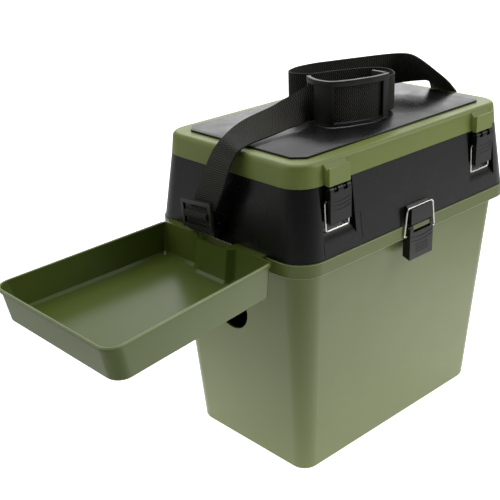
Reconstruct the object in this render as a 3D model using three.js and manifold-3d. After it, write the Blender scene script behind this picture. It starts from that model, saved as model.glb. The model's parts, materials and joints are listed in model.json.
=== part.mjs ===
// Fishing seat box: a moulded bin, a hinged tackle section on top, a lid with a seat pad,
// three wire bail latches, a hook-on side tray and a webbing shoulder strap with its pad.
// Millimetres, +Z up, front towards -Y. The origin is the centre of the bin's underside.
import * as THREE from "three";
import { mergeVertices } from "three/addons/utils/BufferGeometryUtils.js";
import Module from "manifold-3d";

const wasm = await Module();
wasm.setup();

// Overrun of cutting tools and the gap between pieces that touch
const overrun = 1;
const seat = 0.3;
const runningGap = 0.4;
const cornerSteps = 6;
const roundSides = 24;
const smallSides = 12;
const wireSides = 8;
const bendSteps = 4;
const weldDistance = 1e-4;

// Bin: half sizes and corner radii of its foot, its wall top and its proud rim band
const wall = 3;
const binFootHalfX = 158.9;
const binFootHalfY = 92.1;
const binFootRadius = 18.8;
const binFootRounding = 4;
const binFootStep = 1.3;
const binTopHalfX = 178;
const binTopHalfY = 110.3;
const binTopRadius = 28.2;
const binWallHeight = 260.4;
const bandHalfX = 188.6;
const bandHalfY = 120.3;
const bandRadius = 31.5;
const bandHeight = 15.1;
const seamZ = binWallHeight + bandHeight;

// Fish port in the left wall
const portRadius = 27.5;
const portSides = 36;
const portY = 9;
const portZ = 187;

// Tackle section: its foot on the band, its top, the floor that nests in the bin
const sectionFootHalfX = 187.9;
const sectionFootHalfY = 118.95;
const sectionTopHalfX = 178.9;
const sectionTopHalfY = 109.3;
const sectionTopRadius = 29.3;
const sectionTopZ = 352;
const nestHalfX = 181;
const nestHalfY = 111.8;
const nestRadius = 28;
const nestDepth = 7.7;
const ledgeThickness = 5.2;
const rimStiffenerHeight = 12;

// Lid: cap with a rounded top edge and a lip ring that drops into the section
const lidHeight = 24.3;
const lidDraft = 2.2;
const lidWall = 3.5;
const lidRounding = 5.5;
const lidTurnShares = [0.35, 0.7, 1];
const lidInnerTurn = 1.8;
const lipClearance = 0.5;
const lipThickness = 2;
const lipDepth = 4;
const lipRoot = 4;

// Seat pad on the lid
const padHalfX = 155.5;
const padHalfY = 89.8;
const padCorner = 12;
const padThickness = 1.8;
const padRounding = 0.6;

// Hinges: two sets on each axis, three knuckles a set
const hingeSpread = 100;
const barrelRadius = 5;
const lowerAxisY = 126.5;
const upperAxisY = 117;
const knuckleLength = 14;
const knucklesPerHinge = 3;
const hingePinRadius = 2;
const pinClearance = 0.3;
const hingePinOverhang = 1.5;

// Upper latches: lug on the lid, bay in the section, lever with its ears, wire bail
const latchX = 127;
const lugWidth = 32;
const lugFrontY = 116;
const lugDrop = 0.8;
const lugHornZ = 370.2;
const lugGrooveZ = 368;
const lugGrooveY = 112.4;
const lugBackZ = 373;
const lugBackY = 107.8;
const lugSkirtY = 110.2;
const lugHornY = 114.2;
const lugRootY = 105;
const lugRootZ = 372.5;
const lugHeelY = 107;
const bayWidth = 50;
const bayFloorY = 107.9;
const bayBottomZ = 291;
const bayBackWall = 3;
const leverWidth = 32;
const leverFrontY = 117.4;
const leverThickness = 7.6;
const leverBottomZ = 311;
const leverTopZ = 350;
const leverAxisY = 113.8;
const leverAxisZ = 346.6;
const leverNose = 3.4;
const leverPinRadius = 1.1;
const slotOffset = 7;
const slotWidth = 6;
const slotDepth = 5.8;
const mountLugWidth = 3.4;
const mountLugShift = 0.9;
const mountLugRadius = 2;
const leverPocketWall = 2.6;
const leverPocketTop = 341;
const bailWire = 1.1;
const bailAxisY = 112;
const bailAxisZ = 335.3;
const bailLength = 33;
const bailSpacing = 38;
const bailBarSpacing = 34.4;
const bailBend = 3;
const arcGrooveDepth = 0.5;
const arcGrooveHeight = 1.1;
const arcGrooveRise = 1.2;
const arcGrooveDip = 3.6;
const grooveMargin = 2;
const upperArcsZ = [335, 330.5, 326];

// Centre latch: keeper on the section, lug on the bin, lever and bail
const keeperHalfX = 18.8;
const keeperFrontY = 125;
const keeperHornZ = 294.3;
const keeperHornY = 123.9;
const keeperGrooveZ = 293.2;
const keeperGrooveFrontY = 123.2;
const keeperGrooveBackY = 120.4;
const keeperBackZ = 296.8;
const keeperBackY = 117.4;
const keeperRootY = 115;
const centreHalfX = 20.8;
const centreFrontY = 125.5;
const centreBackY = 115.5;
const centreBottomZ = 233.5;
const centreSlotHalfX = 15.3;
const centreSlotBottomZ = 266;
const centreAxisY = 123;
const centreAxisZ = 271.9;
const centreNose = 2.4;
const centreShoulderZ = 260.1;
const centreHeelZ = 237;
const centreLugGap = 0.6;
const centreLugFrontY = 125;
const centreLugBottomZ = 266.6;
const centreLugTopZ = 274.2;
const centreLugChamfer = 2.7;
const centreLugNick = 1.1;
const centreBailAxisY = 121.9;
const centreBailAxisZ = 262.8;
const centreBailBarZ = 294.6;
const centreBailSpacing = 54.6;
const centreBailBarSpacing = 45.8;
const bailSocket = 3.4;
const centreArcsZ = [260.5, 255.8];
const ribGroovesZ = [250.5, 247.6, 244.7, 241.8];
const ribGrooveHalfX = 11;

// Side tray: rim, taper from its inner to its outer end, droop, recess behind the strap
const trayRimX = -196.6;
const trayRimZ = 278.5;
const trayLength = 215.7;
const trayInnerHalf = 87;
const trayOuterHalf = 101;
const trayDepth = 38.8;
const trayWall = 2.4;
const trayFlangeDepth = 4;
const trayFlangeProud = 1.5;
const trayEndDraft = 5;
const traySideDraft = 0.6;
const trayInnerRadius = 5;
const trayOuterRadius = 16;
const trayFloorRounding = 3;
const trayDroop = 3;
const recessDepth = 8;
const recessFront = -37;
const recessFrontEnd = -26;
const recessBackStart = 16;
const recessBack = 31;
const rampSteps = 5;

// Tray hooks: plates over the bin's band with a short lip inside it and gussets below
const tabGap = 0.8;
const tabThickness = 2.2;
const tabHeadroom = 1.1;
const tabRootX = -208;
const trayLipOuterX = -184.4;
const trayLipInnerX = -182.4;
const trayLipDrop = 4.7;
const gussetThickness = 2.4;
const gussetDrop = 13;
const gussetToe = 4;
const gussetShares = [0, 0.5, 1];
const trayTabs = [{ y0: -68, y1: -22 }, { y0: 30, y1: 86 }];

// Strap brackets on the section's end walls
const bracketHalfWidth = 24.5;
const bracketPlate = 2.5;
const bracketBottomZ = 287;
const bracketTopZ = 306;
const bracketBarX = 197;
const bracketBarZ = 285.5;
const bracketBarRadius = 2;
const bracketEar = 3;
const bracketEarRadius = 3.6;
const screwSpread = 14;
const screwZ = 298.5;
const screwRadius = 1.8;
const screwHeadRadius = 3.6;
const screwHeadHeight = 1.6;
const screwLength = 7;
const screwClearance = 0.2;
const screwTipRadius = 1.1;
const screwCrownRadius = 2.5;
const screwBoreLength = 12;
const strapLeftY = 17;
const strapRightY = -10;
const bracketSides = [{ name: "left", sign: -1, y: strapLeftY }, { name: "right", sign: 1, y: strapRightY }];

// Webbing strap: width, thickness, where it parts at the lid's edge, and its slider
const strapWidth = 40;
const strapThickness = 2;
const strapBottomZ = 384.2;
const webbingGap = 0.9;
const wrapRadius = bracketBarRadius + seat + strapThickness / 2;
const sliderHalfWidth = 26;
const sliderX = 206;
const sliderY = 18.2;
const sliderBottomZ = 289.9;
const sliderTopZ = 321.9;
const sliderBar = 4.4;
const sliderDepth = 3.4;
const sliderTwist = 2.4;
const sliderRoll = 6.2;
const sliderMiddleRadius = 1.6;
const sliderInnerRadius = 1.5;
const sliderCornerSteps = 3;

// Shoulder pad: a curled moulded cover with rims above and below the webbing
const coverBottomZ = 380.6;
const coverHeight = 50.4;
const coverThickness = 3;
const coverRim = 5.2;
const coverSlotRim = 3.2;
const coverPathShares = [
  [-0.274, 0.009], [-0.304, -0.06], [-0.328, -0.183], [-0.322, -0.32], [-0.29, -0.385],
  [-0.214, -0.453], [-0.135, -0.497], [-0.057, -0.538], [0.02, -0.552], [0.067, -0.553], [0.085, -0.535],
];

const materials = {
  green: { color: 0x7d8464, roughness: 0.42, metalness: 0 },
  black: { color: 0x2b2b2a, roughness: 0.45, metalness: 0 },
  padding: { color: 0x1d1f22, roughness: 0.3, metalness: 0 },
  webbing: { color: 0x24241f, roughness: 0.85, metalness: 0 },
  steel: { color: 0xc9c8c0, roughness: 0.25, metalness: 1 },
};

// A rounded rectangle as a ring of points, anticlockwise seen from above
function roundedRing(halfX, halfY, radius, steps = cornerSteps) {
  const ring = [];
  const corners = [[1, 1], [-1, 1], [-1, -1], [1, -1]];
  corners.forEach(([sx, sy], quarter) => {
    for (let k = 0; k <= steps; k += 1) {
      const angle = (quarter + k / steps) * Math.PI / 2;
      const x = sx * (halfX - radius) + radius * Math.cos(angle);
      const y = sy * (halfY - radius) + radius * Math.sin(angle);
      ring.push(new THREE.Vector2(x, y));
    }
  });
  return ring;
}

// A closed skin through rings of the same count, given as { ring, z }, from the lowest up
function loft(levels) {
  const count = levels[0].ring.length;
  const points = levels.flatMap(({ ring, z }) => ring.flatMap((p) => [p.x, p.y, z]));
  const faces = [];
  for (let level = 0; level < levels.length - 1; level += 1) {
    for (let i = 0; i < count; i += 1) {
      const a = level * count + i;
      const b = level * count + (i + 1) % count;
      faces.push(a, b, b + count, a, b + count, a + count);
    }
  }
  const last = (levels.length - 1) * count;
  for (const [a, b, c] of THREE.ShapeUtils.triangulateShape(levels[0].ring, [])) faces.push(c, b, a);
  const top = THREE.ShapeUtils.triangulateShape(levels.at(-1).ring, []);
  for (const [a, b, c] of top) faces.push(last + a, last + b, last + c);
  const geometry = new THREE.BufferGeometry();
  geometry.setAttribute("position", new THREE.Float32BufferAttribute(points, 3));
  geometry.setIndex(faces);
  return geometry;
}

// A loft of rounded rectangles, each [z, halfX, halfY, radius]
function tub(levels) {
  return solid(loft(levels.map(([z, hx, hy, r]) => ({ z, ring: roundedRing(hx, hy, r) }))));
}

// A geometry with its shared vertices merged, as a solid that can be joined and cut
function solid(geometry) {
  const bare = geometry.clone();
  bare.deleteAttribute("normal");
  bare.deleteAttribute("uv");
  const merged = mergeVertices(bare, weldDistance);
  return new wasm.Manifold(new wasm.Mesh({
    numProp: 3,
    vertProperties: merged.getAttribute("position").array,
    triVerts: new Uint32Array(merged.index.array),
  }));
}

function join(first, ...others) {
  return others.reduce((sum, other) => sum.add(other), first);
}

function cut(body, ...tools) {
  return tools.reduce((left, tool) => left.subtract(tool), body);
}

// A finished solid as a named mesh
function piece(name, made, material) {
  const mesh = made.getMesh();
  const geometry = new THREE.BufferGeometry();
  geometry.setAttribute("position", new THREE.BufferAttribute(mesh.vertProperties, 3));
  geometry.setIndex(new THREE.BufferAttribute(mesh.triVerts, 1));
  geometry.computeVertexNormals();
  const built = new THREE.Mesh(geometry, new THREE.MeshStandardMaterial(materials[material]));
  built.name = name;
  return built;
}

// A block between two corners
function block(x0, x1, y0, y1, z0, z1) {
  const geometry = new THREE.BoxGeometry(x1 - x0, y1 - y0, z1 - z0);
  geometry.translate((x0 + x1) / 2, (y0 + y1) / 2, (z0 + z1) / 2);
  return solid(geometry);
}

// A round bar along X between two ends
function barX(x0, x1, y, z, radius, sides = roundSides) {
  const geometry = new THREE.CylinderGeometry(radius, radius, x1 - x0, sides);
  geometry.rotateZ(Math.PI / 2);
  geometry.translate((x0 + x1) / 2, y, z);
  return solid(geometry);
}

// An outline in Y and Z, given as [y, z] points, pulled along X between two ends
function profileX(outline, x0, x1) {
  const shape = new THREE.Shape(outline.map(([y, z]) => new THREE.Vector2(y, z)));
  const geometry = new THREE.ExtrudeGeometry(shape, { depth: x1 - x0, bevelEnabled: false });
  geometry.applyMatrix4(new THREE.Matrix4().makeBasis(
    new THREE.Vector3(0, 1, 0), new THREE.Vector3(0, 0, 1), new THREE.Vector3(1, 0, 0)));
  geometry.translate(x0, 0, 0);
  return solid(geometry);
}

// The straight line between two values at a height between two heights
function between(z, z0, v0, z1, v1) {
  return v0 + (v1 - v0) * (z - z0) / (z1 - z0);
}

// A row of knuckles at each hinge set, as bars along X at the given axis
function knuckles(centre, y, z, outer) {
  const half = knuckleLength / 2;
  const spans = outer
    ? [[-half - knuckleLength, -half], [half, half + knuckleLength]]
    : [[-half + runningGap, half - runningGap]];
  return spans.map(([x0, x1]) => ({ x0: centre + x0, x1: centre + x1, y, z }));
}

// Knuckles with the arms that carry them: the arm fills from the wall out to the axis,
// above or below it, and the pin hole runs through
function hingeArms(centre, y, z, wallY, rise, outer) {
  const parts = knuckles(centre, y, z, outer).map((k) => {
    const low = rise > 0 ? z + seat : z + rise;
    const high = rise > 0 ? z + rise : z;
    return join(barX(k.x0, k.x1, k.y, k.z, barrelRadius), block(k.x0, k.x1, wallY, y, low, high));
  });
  return join(...parts);
}

function hingeHole(centre, y, z) {
  const reach = knuckleLength * knucklesPerHinge / 2 + overrun;
  return barX(centre - reach, centre + reach, y, z, hingePinRadius + pinClearance, smallSides);
}

function hingePin(centre, y, z) {
  const reach = knuckleLength * knucklesPerHinge / 2 + hingePinOverhang;
  return barX(centre - reach, centre + reach, y, z, hingePinRadius, smallSides);
}

// Grooves that sag across the width of a lever's front
function sagGroove(centreX, halfX, frontY, z) {
  const outline = new THREE.Shape();
  const half = arcGrooveHeight / 2;
  outline.moveTo(-halfX, z + arcGrooveRise - half);
  outline.quadraticCurveTo(0, z - arcGrooveDip - half, halfX, z + arcGrooveRise - half);
  outline.lineTo(halfX, z + arcGrooveRise + half);
  outline.quadraticCurveTo(0, z - arcGrooveDip + half, -halfX, z + arcGrooveRise + half);
  const depth = arcGrooveDepth + overrun;
  const geometry = new THREE.ExtrudeGeometry(outline, {
    depth, bevelEnabled: false, curveSegments: cornerSteps,
  });
  geometry.rotateX(Math.PI / 2);
  geometry.translate(centreX, frontY + arcGrooveDepth, 0);
  return solid(geometry);
}

// Half sizes of the bin's wall and of the section's wall at a height
function binWallAt(z, inset) {
  return [
    z,
    between(z, 0, binFootHalfX, binWallHeight, binTopHalfX) - inset,
    between(z, 0, binFootHalfY, binWallHeight, binTopHalfY) - inset,
    between(z, 0, binFootRadius, binWallHeight, binTopRadius) - inset,
  ];
}

const sectionFootZ = seamZ + seat;

function sectionWallAt(z, inset) {
  return [
    z,
    between(z, seamZ, sectionFootHalfX, sectionTopZ, sectionTopHalfX) - inset,
    between(z, seamZ, sectionFootHalfY, sectionTopZ, sectionTopHalfY) - inset,
    between(z, seamZ, bandRadius, sectionTopZ, sectionTopRadius) - inset,
  ];
}

function inset([z, halfX, halfY, radius], by, newZ = z) {
  return [newZ, halfX - by, halfY - by, radius - by];
}

// Bin: drafted tub with a proud rim band, the fish port, hinge arms and the latch lug
function makeBin() {
  const band = [binWallHeight, bandHalfX, bandHalfY, bandRadius];
  const outside = tub([
    inset(binWallAt(0, 0), binFootRounding),
    inset(binWallAt(0, 0), binFootStep, binFootStep),
    binWallAt(binFootRounding, 0),
    binWallAt(binWallHeight, 0),
    band,
    inset(band, 0, seamZ),
  ]);
  const inside = tub([
    binWallAt(wall, wall),
    binWallAt(binWallHeight + wall, wall),
    inset(band, wall, binWallHeight + wall),
    inset(band, wall, seamZ + overrun),
  ]);
  const port = barX(-bandHalfX, 0, portY, portZ, portRadius, portSides);
  const arms = [-hingeSpread, hingeSpread].map((x) => hingeArms(x, lowerAxisY, seamZ,
    bandHalfY - wall / 2, -barrelRadius, true));
  const holes = [-hingeSpread, hingeSpread].map((x) => hingeHole(x, lowerAxisY, seamZ));
  const lugHalf = centreSlotHalfX - centreLugGap;
  const lug = profileX([
    [wall / 2 - bandHalfY, centreLugBottomZ],
    [wall / 2 - bandHalfY, centreLugTopZ],
    [centreLugNick - centreLugFrontY, centreLugTopZ],
    [-centreLugFrontY, centreLugTopZ - centreLugNick],
    [-centreLugFrontY, centreLugBottomZ + centreLugChamfer],
    [centreLugChamfer - centreLugFrontY, centreLugBottomZ],
  ].reverse(), -lugHalf, lugHalf);
  const lugHole = barX(-bandHalfX, bandHalfX, -centreAxisY, centreAxisZ,
    leverPinRadius + pinClearance, smallSides);
  return cut(join(cut(outside, inside), ...arms, lug), port, lugHole, ...holes);
}

// Tackle section: drafted shell whose floor nests in the bin, with latch bays, their pin
// lugs, the keeper for the centre latch and the arms of both hinges
function makeSection() {
  const nest = [sectionFootZ, nestHalfX, nestHalfY, nestRadius];
  const rim = inset(sectionWallAt(sectionTopZ, 0), wall);
  const ledgeZ = sectionFootZ + ledgeThickness;
  const outside = tub([
    inset(nest, wall / 2, sectionFootZ - nestDepth),
    inset(nest, 0, sectionFootZ - nestDepth + wall / 2),
    nest,
    sectionWallAt(sectionFootZ, 0),
    sectionWallAt(sectionTopZ, 0),
  ]);
  const cavity = tub([
    inset(nest, wall, sectionFootZ - nestDepth + wall),
    inset(nest, wall, ledgeZ),
    sectionWallAt(ledgeZ, wall),
    sectionWallAt(sectionTopZ - rimStiffenerHeight * 2, wall),
    inset(rim, 0, sectionTopZ - rimStiffenerHeight),
    inset(rim, 0, sectionTopZ + overrun),
  ]);
  const sides = [-latchX, latchX];
  const halfBay = bayWidth / 2;
  const bossTopZ = sectionTopZ - lipDepth - lipClearance;
  const bosses = sides.map((x) => block(x - halfBay - bayBackWall, x + halfBay + bayBackWall,
    -sectionFootHalfY, bayBackWall - bayFloorY, bayBottomZ - bayBackWall, bossTopZ));
  const bays = sides.map((x) => block(x - halfBay, x + halfBay,
    -sectionFootHalfY - overrun, -bayFloorY, bayBottomZ, sectionTopZ + overrun));
  const lugs = sides.flatMap((x) => [-slotOffset, slotOffset].map((offset) => {
    const centre = x + offset + mountLugShift;
    const x0 = centre - mountLugWidth / 2;
    const x1 = centre + mountLugWidth / 2;
    const nose = barX(x0, x1, -leverAxisY, leverAxisZ, mountLugRadius, smallSides);
    const root = block(x0, x1, -leverAxisY, wall / 2 - bayFloorY,
      leverAxisZ - mountLugRadius, leverAxisZ + mountLugRadius);
    return join(nose, root);
  }));
  const lugHole = barX(-sectionFootHalfX, sectionFootHalfX, -leverAxisY, leverAxisZ,
    leverPinRadius + pinClearance / 2, smallSides);
  const keeper = profileX([
    [-keeperFrontY, sectionFootZ],
    [-keeperRootY, sectionFootZ],
    [-keeperRootY, keeperBackZ],
    [-keeperBackY, keeperBackZ],
    [-keeperGrooveBackY, keeperGrooveZ],
    [-keeperGrooveFrontY, keeperGrooveZ],
    [-keeperHornY, keeperHornZ],
    [-keeperFrontY, keeperHornZ],
  ], -keeperHalfX, keeperHalfX);
  const lower = [-hingeSpread, hingeSpread].map((x) => hingeArms(x, lowerAxisY, seamZ,
    sectionFootHalfY - wall / 2, barrelRadius, false));
  const upper = [-hingeSpread, hingeSpread].map((x) => hingeArms(x, upperAxisY, sectionTopZ,
    sectionTopHalfY - wall / 2, -barrelRadius, true));
  const holes = [-hingeSpread, hingeSpread].flatMap((x) => [
    hingeHole(x, lowerAxisY, seamZ), hingeHole(x, upperAxisY, sectionTopZ)]);
  const shell = cut(outside, cut(cavity, ...bosses), ...bays);
  const notches = trayTabs.map(({ y0, y1 }) => block(-sectionFootHalfX - overrun, trayLipInnerX + tabGap,
    y0 - tabGap, y1 + tabGap, sectionFootZ - overrun, sectionFootZ + tabThickness + tabHeadroom));
  const fastenerHoles = bracketSides.map((side) => bracketScrewHole(side));
  const whole = join(shell, ...lugs, keeper, ...lower, ...upper);
  return cut(whole, lugHole, ...holes, ...notches, ...fastenerHoles);
}

const lidFootZ = sectionTopZ + seat;
const lidTopZ = lidFootZ + lidHeight;

// Lid: cap with rounded top edge, lip ring, two latch lugs and hinge arms
function makeLid() {
  const foot = inset(sectionWallAt(sectionTopZ, 0), 0, lidFootZ);
  const shoulder = inset(foot, lidDraft, lidTopZ - lidRounding);
  const turns = lidTurnShares.map((share) => {
    const angle = share * Math.PI / 2;
    const drawnIn = lidRounding * (1 - Math.cos(angle));
    return inset(shoulder, drawnIn, lidTopZ - lidRounding * (1 - Math.sin(angle)));
  });
  const outside = tub([foot, shoulder, ...turns]);
  const inside = tub([
    inset(foot, lidWall, lidFootZ - overrun),
    inset(foot, lidWall),
    inset(shoulder, lidWall, lidTopZ - lidRounding),
    inset(shoulder, lidWall + lidInnerTurn, lidTopZ - lidWall),
  ]);
  const lipOutside = inset(sectionWallAt(sectionTopZ, wall), lipClearance, sectionTopZ - lipDepth);
  const lipInside = inset(lipOutside, lipThickness);
  const lip = cut(
    tub([lipOutside, inset(lipOutside, 0, lidFootZ + lipRoot)]),
    tub([
      inset(lipInside, 0, sectionTopZ - lipDepth - overrun),
      inset(lipInside, 0, lidFootZ + lipRoot + overrun),
    ]),
  );
  const lugs = [-latchX, latchX].map((x) => profileX([
    [-lugFrontY, sectionTopZ - lugDrop],
    [-lugSkirtY, sectionTopZ - lugDrop],
    [-lugSkirtY, lidFootZ + lugDrop / 2],
    [-lugHeelY, lidFootZ + lugDrop / 2],
    [-lugRootY, lugRootZ],
    [-lugBackY, lugBackZ],
    [-lugGrooveY, lugGrooveZ],
    [-lugHornY, lugHornZ],
    [-lugFrontY, lugHornZ],
  ], x - lugWidth / 2, x + lugWidth / 2));
  const arms = [-hingeSpread, hingeSpread].map((x) => hingeArms(x, upperAxisY, sectionTopZ,
    sectionTopHalfY - lidWall / 2, barrelRadius, false));
  const holes = [-hingeSpread, hingeSpread].map((x) => hingeHole(x, upperAxisY, sectionTopZ));
  return cut(join(cut(outside, inside), lip, ...lugs, ...arms), ...holes);
}

// A rectangle with its corners cut off, as a ring of points
function cutCornerRing(halfX, halfY, corner) {
  return [
    [halfX, corner - halfY], [halfX, halfY - corner], [halfX - corner, halfY], [corner - halfX, halfY],
    [-halfX, halfY - corner], [-halfX, corner - halfY], [corner - halfX, -halfY], [halfX - corner, -halfY],
  ].map(([x, y]) => new THREE.Vector2(x, y));
}

function makeSeatPad() {
  const z = lidTopZ + seat;
  return solid(loft([
    { z, ring: cutCornerRing(padHalfX, padHalfY, padCorner) },
    { z: z + padThickness - padRounding, ring: cutCornerRing(padHalfX, padHalfY, padCorner) },
    { z: z + padThickness, ring: cutCornerRing(padHalfX - padRounding, padHalfY - padRounding, padCorner) },
  ]));
}

// Upper lever: rounded nose round its pin, slots for the section's lugs, a hollow back,
// sagging grip grooves and holes for the bail's ends
function makeUpperLever(x) {
  const half = leverWidth / 2;
  const backY = leverThickness - leverFrontY;
  const nose = [];
  for (let k = 0; k <= cornerSteps; k += 1) {
    const angle = k / cornerSteps * Math.PI;
    nose.push([-leverAxisY + leverNose * Math.cos(angle), leverAxisZ + leverNose * Math.sin(angle)]);
  }
  const body = profileX([
    [-leverFrontY, leverBottomZ],
    [backY, leverBottomZ],
    [backY, leverAxisZ - leverNose],
    ...nose,
    [-leverFrontY, leverAxisZ - leverNose / 2],
  ], x - half, x + half);
  const slots = [-slotOffset, slotOffset].map((offset) => block(
    x + offset - slotWidth / 2, x + offset + slotWidth / 2,
    -leverFrontY - overrun, backY + overrun,
    leverAxisZ + leverNose - slotDepth, leverTopZ + overrun));
  const pocket = block(x - half + leverPocketWall, x + half - leverPocketWall,
    leverPocketWall - leverFrontY, backY + overrun, leverBottomZ + leverPocketWall, leverPocketTop);
  const pinHole = barX(x - half - overrun, x + half + overrun, -leverAxisY, leverAxisZ,
    leverPinRadius + pinClearance, smallSides);
  const bailHole = barX(x - half - overrun, x + half + overrun, -bailAxisY, bailAxisZ,
    bailWire + pinClearance, smallSides);
  const grooves = upperArcsZ.map((z) => sagGroove(x, half - grooveMargin, -leverFrontY, z));
  return cut(body, ...slots, pocket, pinHole, bailHole, ...grooves);
}

// A wire bent along points, with rounded bends, as a closed tube
function wire(points, radius, bend, sides = wireSides) {
  const path = new THREE.CurvePath();
  let from = points[0];
  for (let i = 1; i < points.length - 1; i += 1) {
    const corner = points[i];
    const start = points[i - 1].clone().sub(corner).setLength(bend).add(corner);
    const end = points[i + 1].clone().sub(corner).setLength(bend).add(corner);
    path.add(new THREE.LineCurve3(from, start));
    path.add(new THREE.QuadraticBezierCurve3(start, corner, end));
    from = end;
  }
  path.add(new THREE.LineCurve3(from, points.at(-1)));
  const section = new THREE.Shape();
  for (let k = 0; k < sides; k += 1) {
    const angle = (k + 0.5) / sides * Math.PI * 2;
    const step = [radius * Math.cos(angle), radius * Math.sin(angle)];
    if (k === 0) section.moveTo(...step);
    else section.lineTo(...step);
  }
  section.closePath();
  const spaced = [];
  for (const part of path.curves) {
    const divisions = part instanceof THREE.LineCurve3 ? 1 : bendSteps;
    part.getPoints(divisions).forEach((p, k) => {
      if (k > 0 || spaced.length === 0) spaced.push(p);
    });
  }
  return solid(sweep(spaced, section.getPoints()));
}

// A section carried along points without twist, closed at both ends
function sweep(points, outline) {
  const steps = points.length - 1;
  const tangents = points.map((p, i) => {
    const before = points[Math.max(i - 1, 0)];
    const after = points[Math.min(i + 1, steps)];
    return after.clone().sub(before).normalize();
  });
  const plane = points.at(-1).clone().sub(points[0]).cross(points[2].clone().sub(points[0])).normalize();
  const rings = points.map((p, i) => {
    const side = new THREE.Vector3().crossVectors(tangents[i], plane).normalize();
    return outline.map((q) => p.clone().addScaledVector(side, q.x).addScaledVector(plane, q.y));
  });
  return ringSkin(rings);
}

// A closed skin over rings of 3-D points that go round clockwise along the way they advance
function ringSkin(rings) {
  const count = rings[0].length;
  const positions = rings.flat().flatMap((p) => [p.x, p.y, p.z]);
  const faces = [];
  for (let level = 0; level < rings.length - 1; level += 1) {
    for (let i = 0; i < count; i += 1) {
      const a = level * count + i;
      const b = level * count + (i + 1) % count;
      faces.push(a, b + count, b, a, a + count, b + count);
    }
  }
  const last = (rings.length - 1) * count;
  for (let i = 1; i < count - 1; i += 1) {
    faces.push(0, i, i + 1);
    faces.push(last, last + i + 1, last + i);
  }
  const geometry = new THREE.BufferGeometry();
  geometry.setAttribute("position", new THREE.Float32BufferAttribute(positions, 3));
  geometry.setIndex(faces);
  return outward(geometry);
}

// The same geometry with its faces turned out when they point in
function outward(geometry) {
  const p = geometry.getAttribute("position");
  const index = geometry.getIndex();
  const [a, b, c] = [new THREE.Vector3(), new THREE.Vector3(), new THREE.Vector3()];
  let volume = 0;
  for (let i = 0; i < index.count; i += 3) {
    a.fromBufferAttribute(p, index.getX(i));
    b.fromBufferAttribute(p, index.getX(i + 1));
    c.fromBufferAttribute(p, index.getX(i + 2));
    volume += a.dot(b.cross(c));
  }
  if (volume < 0) index.array.reverse();
  return geometry;
}

// A bail: ends turned into the lever's sides, two arms and the bar
function makeBail(x, axis, bar, spacing, barSpacing, endHalf) {
  const at = (half, [y, z]) => new THREE.Vector3(x + half, -y, z);
  return wire([
    at(-endHalf, axis), at(-spacing / 2, axis), at(-barSpacing / 2, bar),
    at(barSpacing / 2, bar), at(spacing / 2, axis), at(endHalf, axis),
  ], bailWire, bailBend);
}

// Centre lever: thick grip under the band, thinner ears in front of it, slot for the bin's lug
function makeCentreLever() {
  const nose = [];
  for (let k = 0; k <= cornerSteps; k += 1) {
    const angle = k / cornerSteps * Math.PI;
    nose.push([-centreAxisY + centreNose * Math.cos(angle), centreAxisZ + centreNose * Math.sin(angle)]);
  }
  const body = profileX([
    [-centreFrontY, centreBottomZ],
    [-centreBackY, centreHeelZ],
    [-centreBackY, centreShoulderZ],
    [centreNose - centreAxisY, centreShoulderZ],
    ...nose,
    [-centreFrontY, centreAxisZ - centreNose / 2],
  ], -centreHalfX, centreHalfX);
  const slot = block(-centreSlotHalfX, centreSlotHalfX, -centreFrontY - overrun, -centreBackY,
    centreSlotBottomZ, centreAxisZ + centreNose + overrun);
  const pocket = block(leverPocketWall - centreHalfX, centreHalfX - leverPocketWall,
    leverPocketWall - centreFrontY, overrun - centreBackY,
    centreHeelZ + leverPocketWall, centreShoulderZ - leverPocketWall);
  const reach = centreHalfX + overrun;
  const pinHole = barX(-reach, reach, -centreAxisY, centreAxisZ, leverPinRadius + pinClearance, smallSides);
  const bailHole = barX(-reach, reach, -centreBailAxisY, centreBailAxisZ,
    bailWire + pinClearance, smallSides);
  const grooves = centreArcsZ.map((z) => sagGroove(0, centreHalfX - grooveMargin, -centreFrontY, z));
  const ribs = ribGroovesZ.map((z) => block(-ribGrooveHalfX, ribGrooveHalfX, -centreFrontY - overrun,
    arcGrooveDepth - centreFrontY, z - arcGrooveHeight / 2, z + arcGrooveHeight / 2));
  return cut(body, slot, pocket, pinHole, bailHole, ...grooves, ...ribs);
}

// A ring through corners given as [x, y, radius], anticlockwise, with arcs at the corners
function roundedPolygon(corners) {
  return corners.flatMap(([x, y, radius], i) => {
    const p = new THREE.Vector2(x, y);
    const before = corners.at(i - 1);
    const after = corners[(i + 1) % corners.length];
    const u = new THREE.Vector2(before[0] - x, before[1] - y).normalize();
    const v = new THREE.Vector2(after[0] - x, after[1] - y).normalize();
    const half = Math.acos(u.dot(v)) / 2;
    const centre = p.clone().addScaledVector(u.clone().add(v).normalize(), radius / Math.sin(half));
    const start = p.clone().addScaledVector(u, radius / Math.tan(half)).sub(centre).angle();
    const turn = Math.PI - half * 2;
    return Array.from({ length: cornerSteps + 1 }, (_, k) => {
      const angle = start + turn * k / cornerSteps;
      return new THREE.Vector2(centre.x + radius * Math.cos(angle), centre.y + radius * Math.sin(angle));
    });
  });
}

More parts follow.
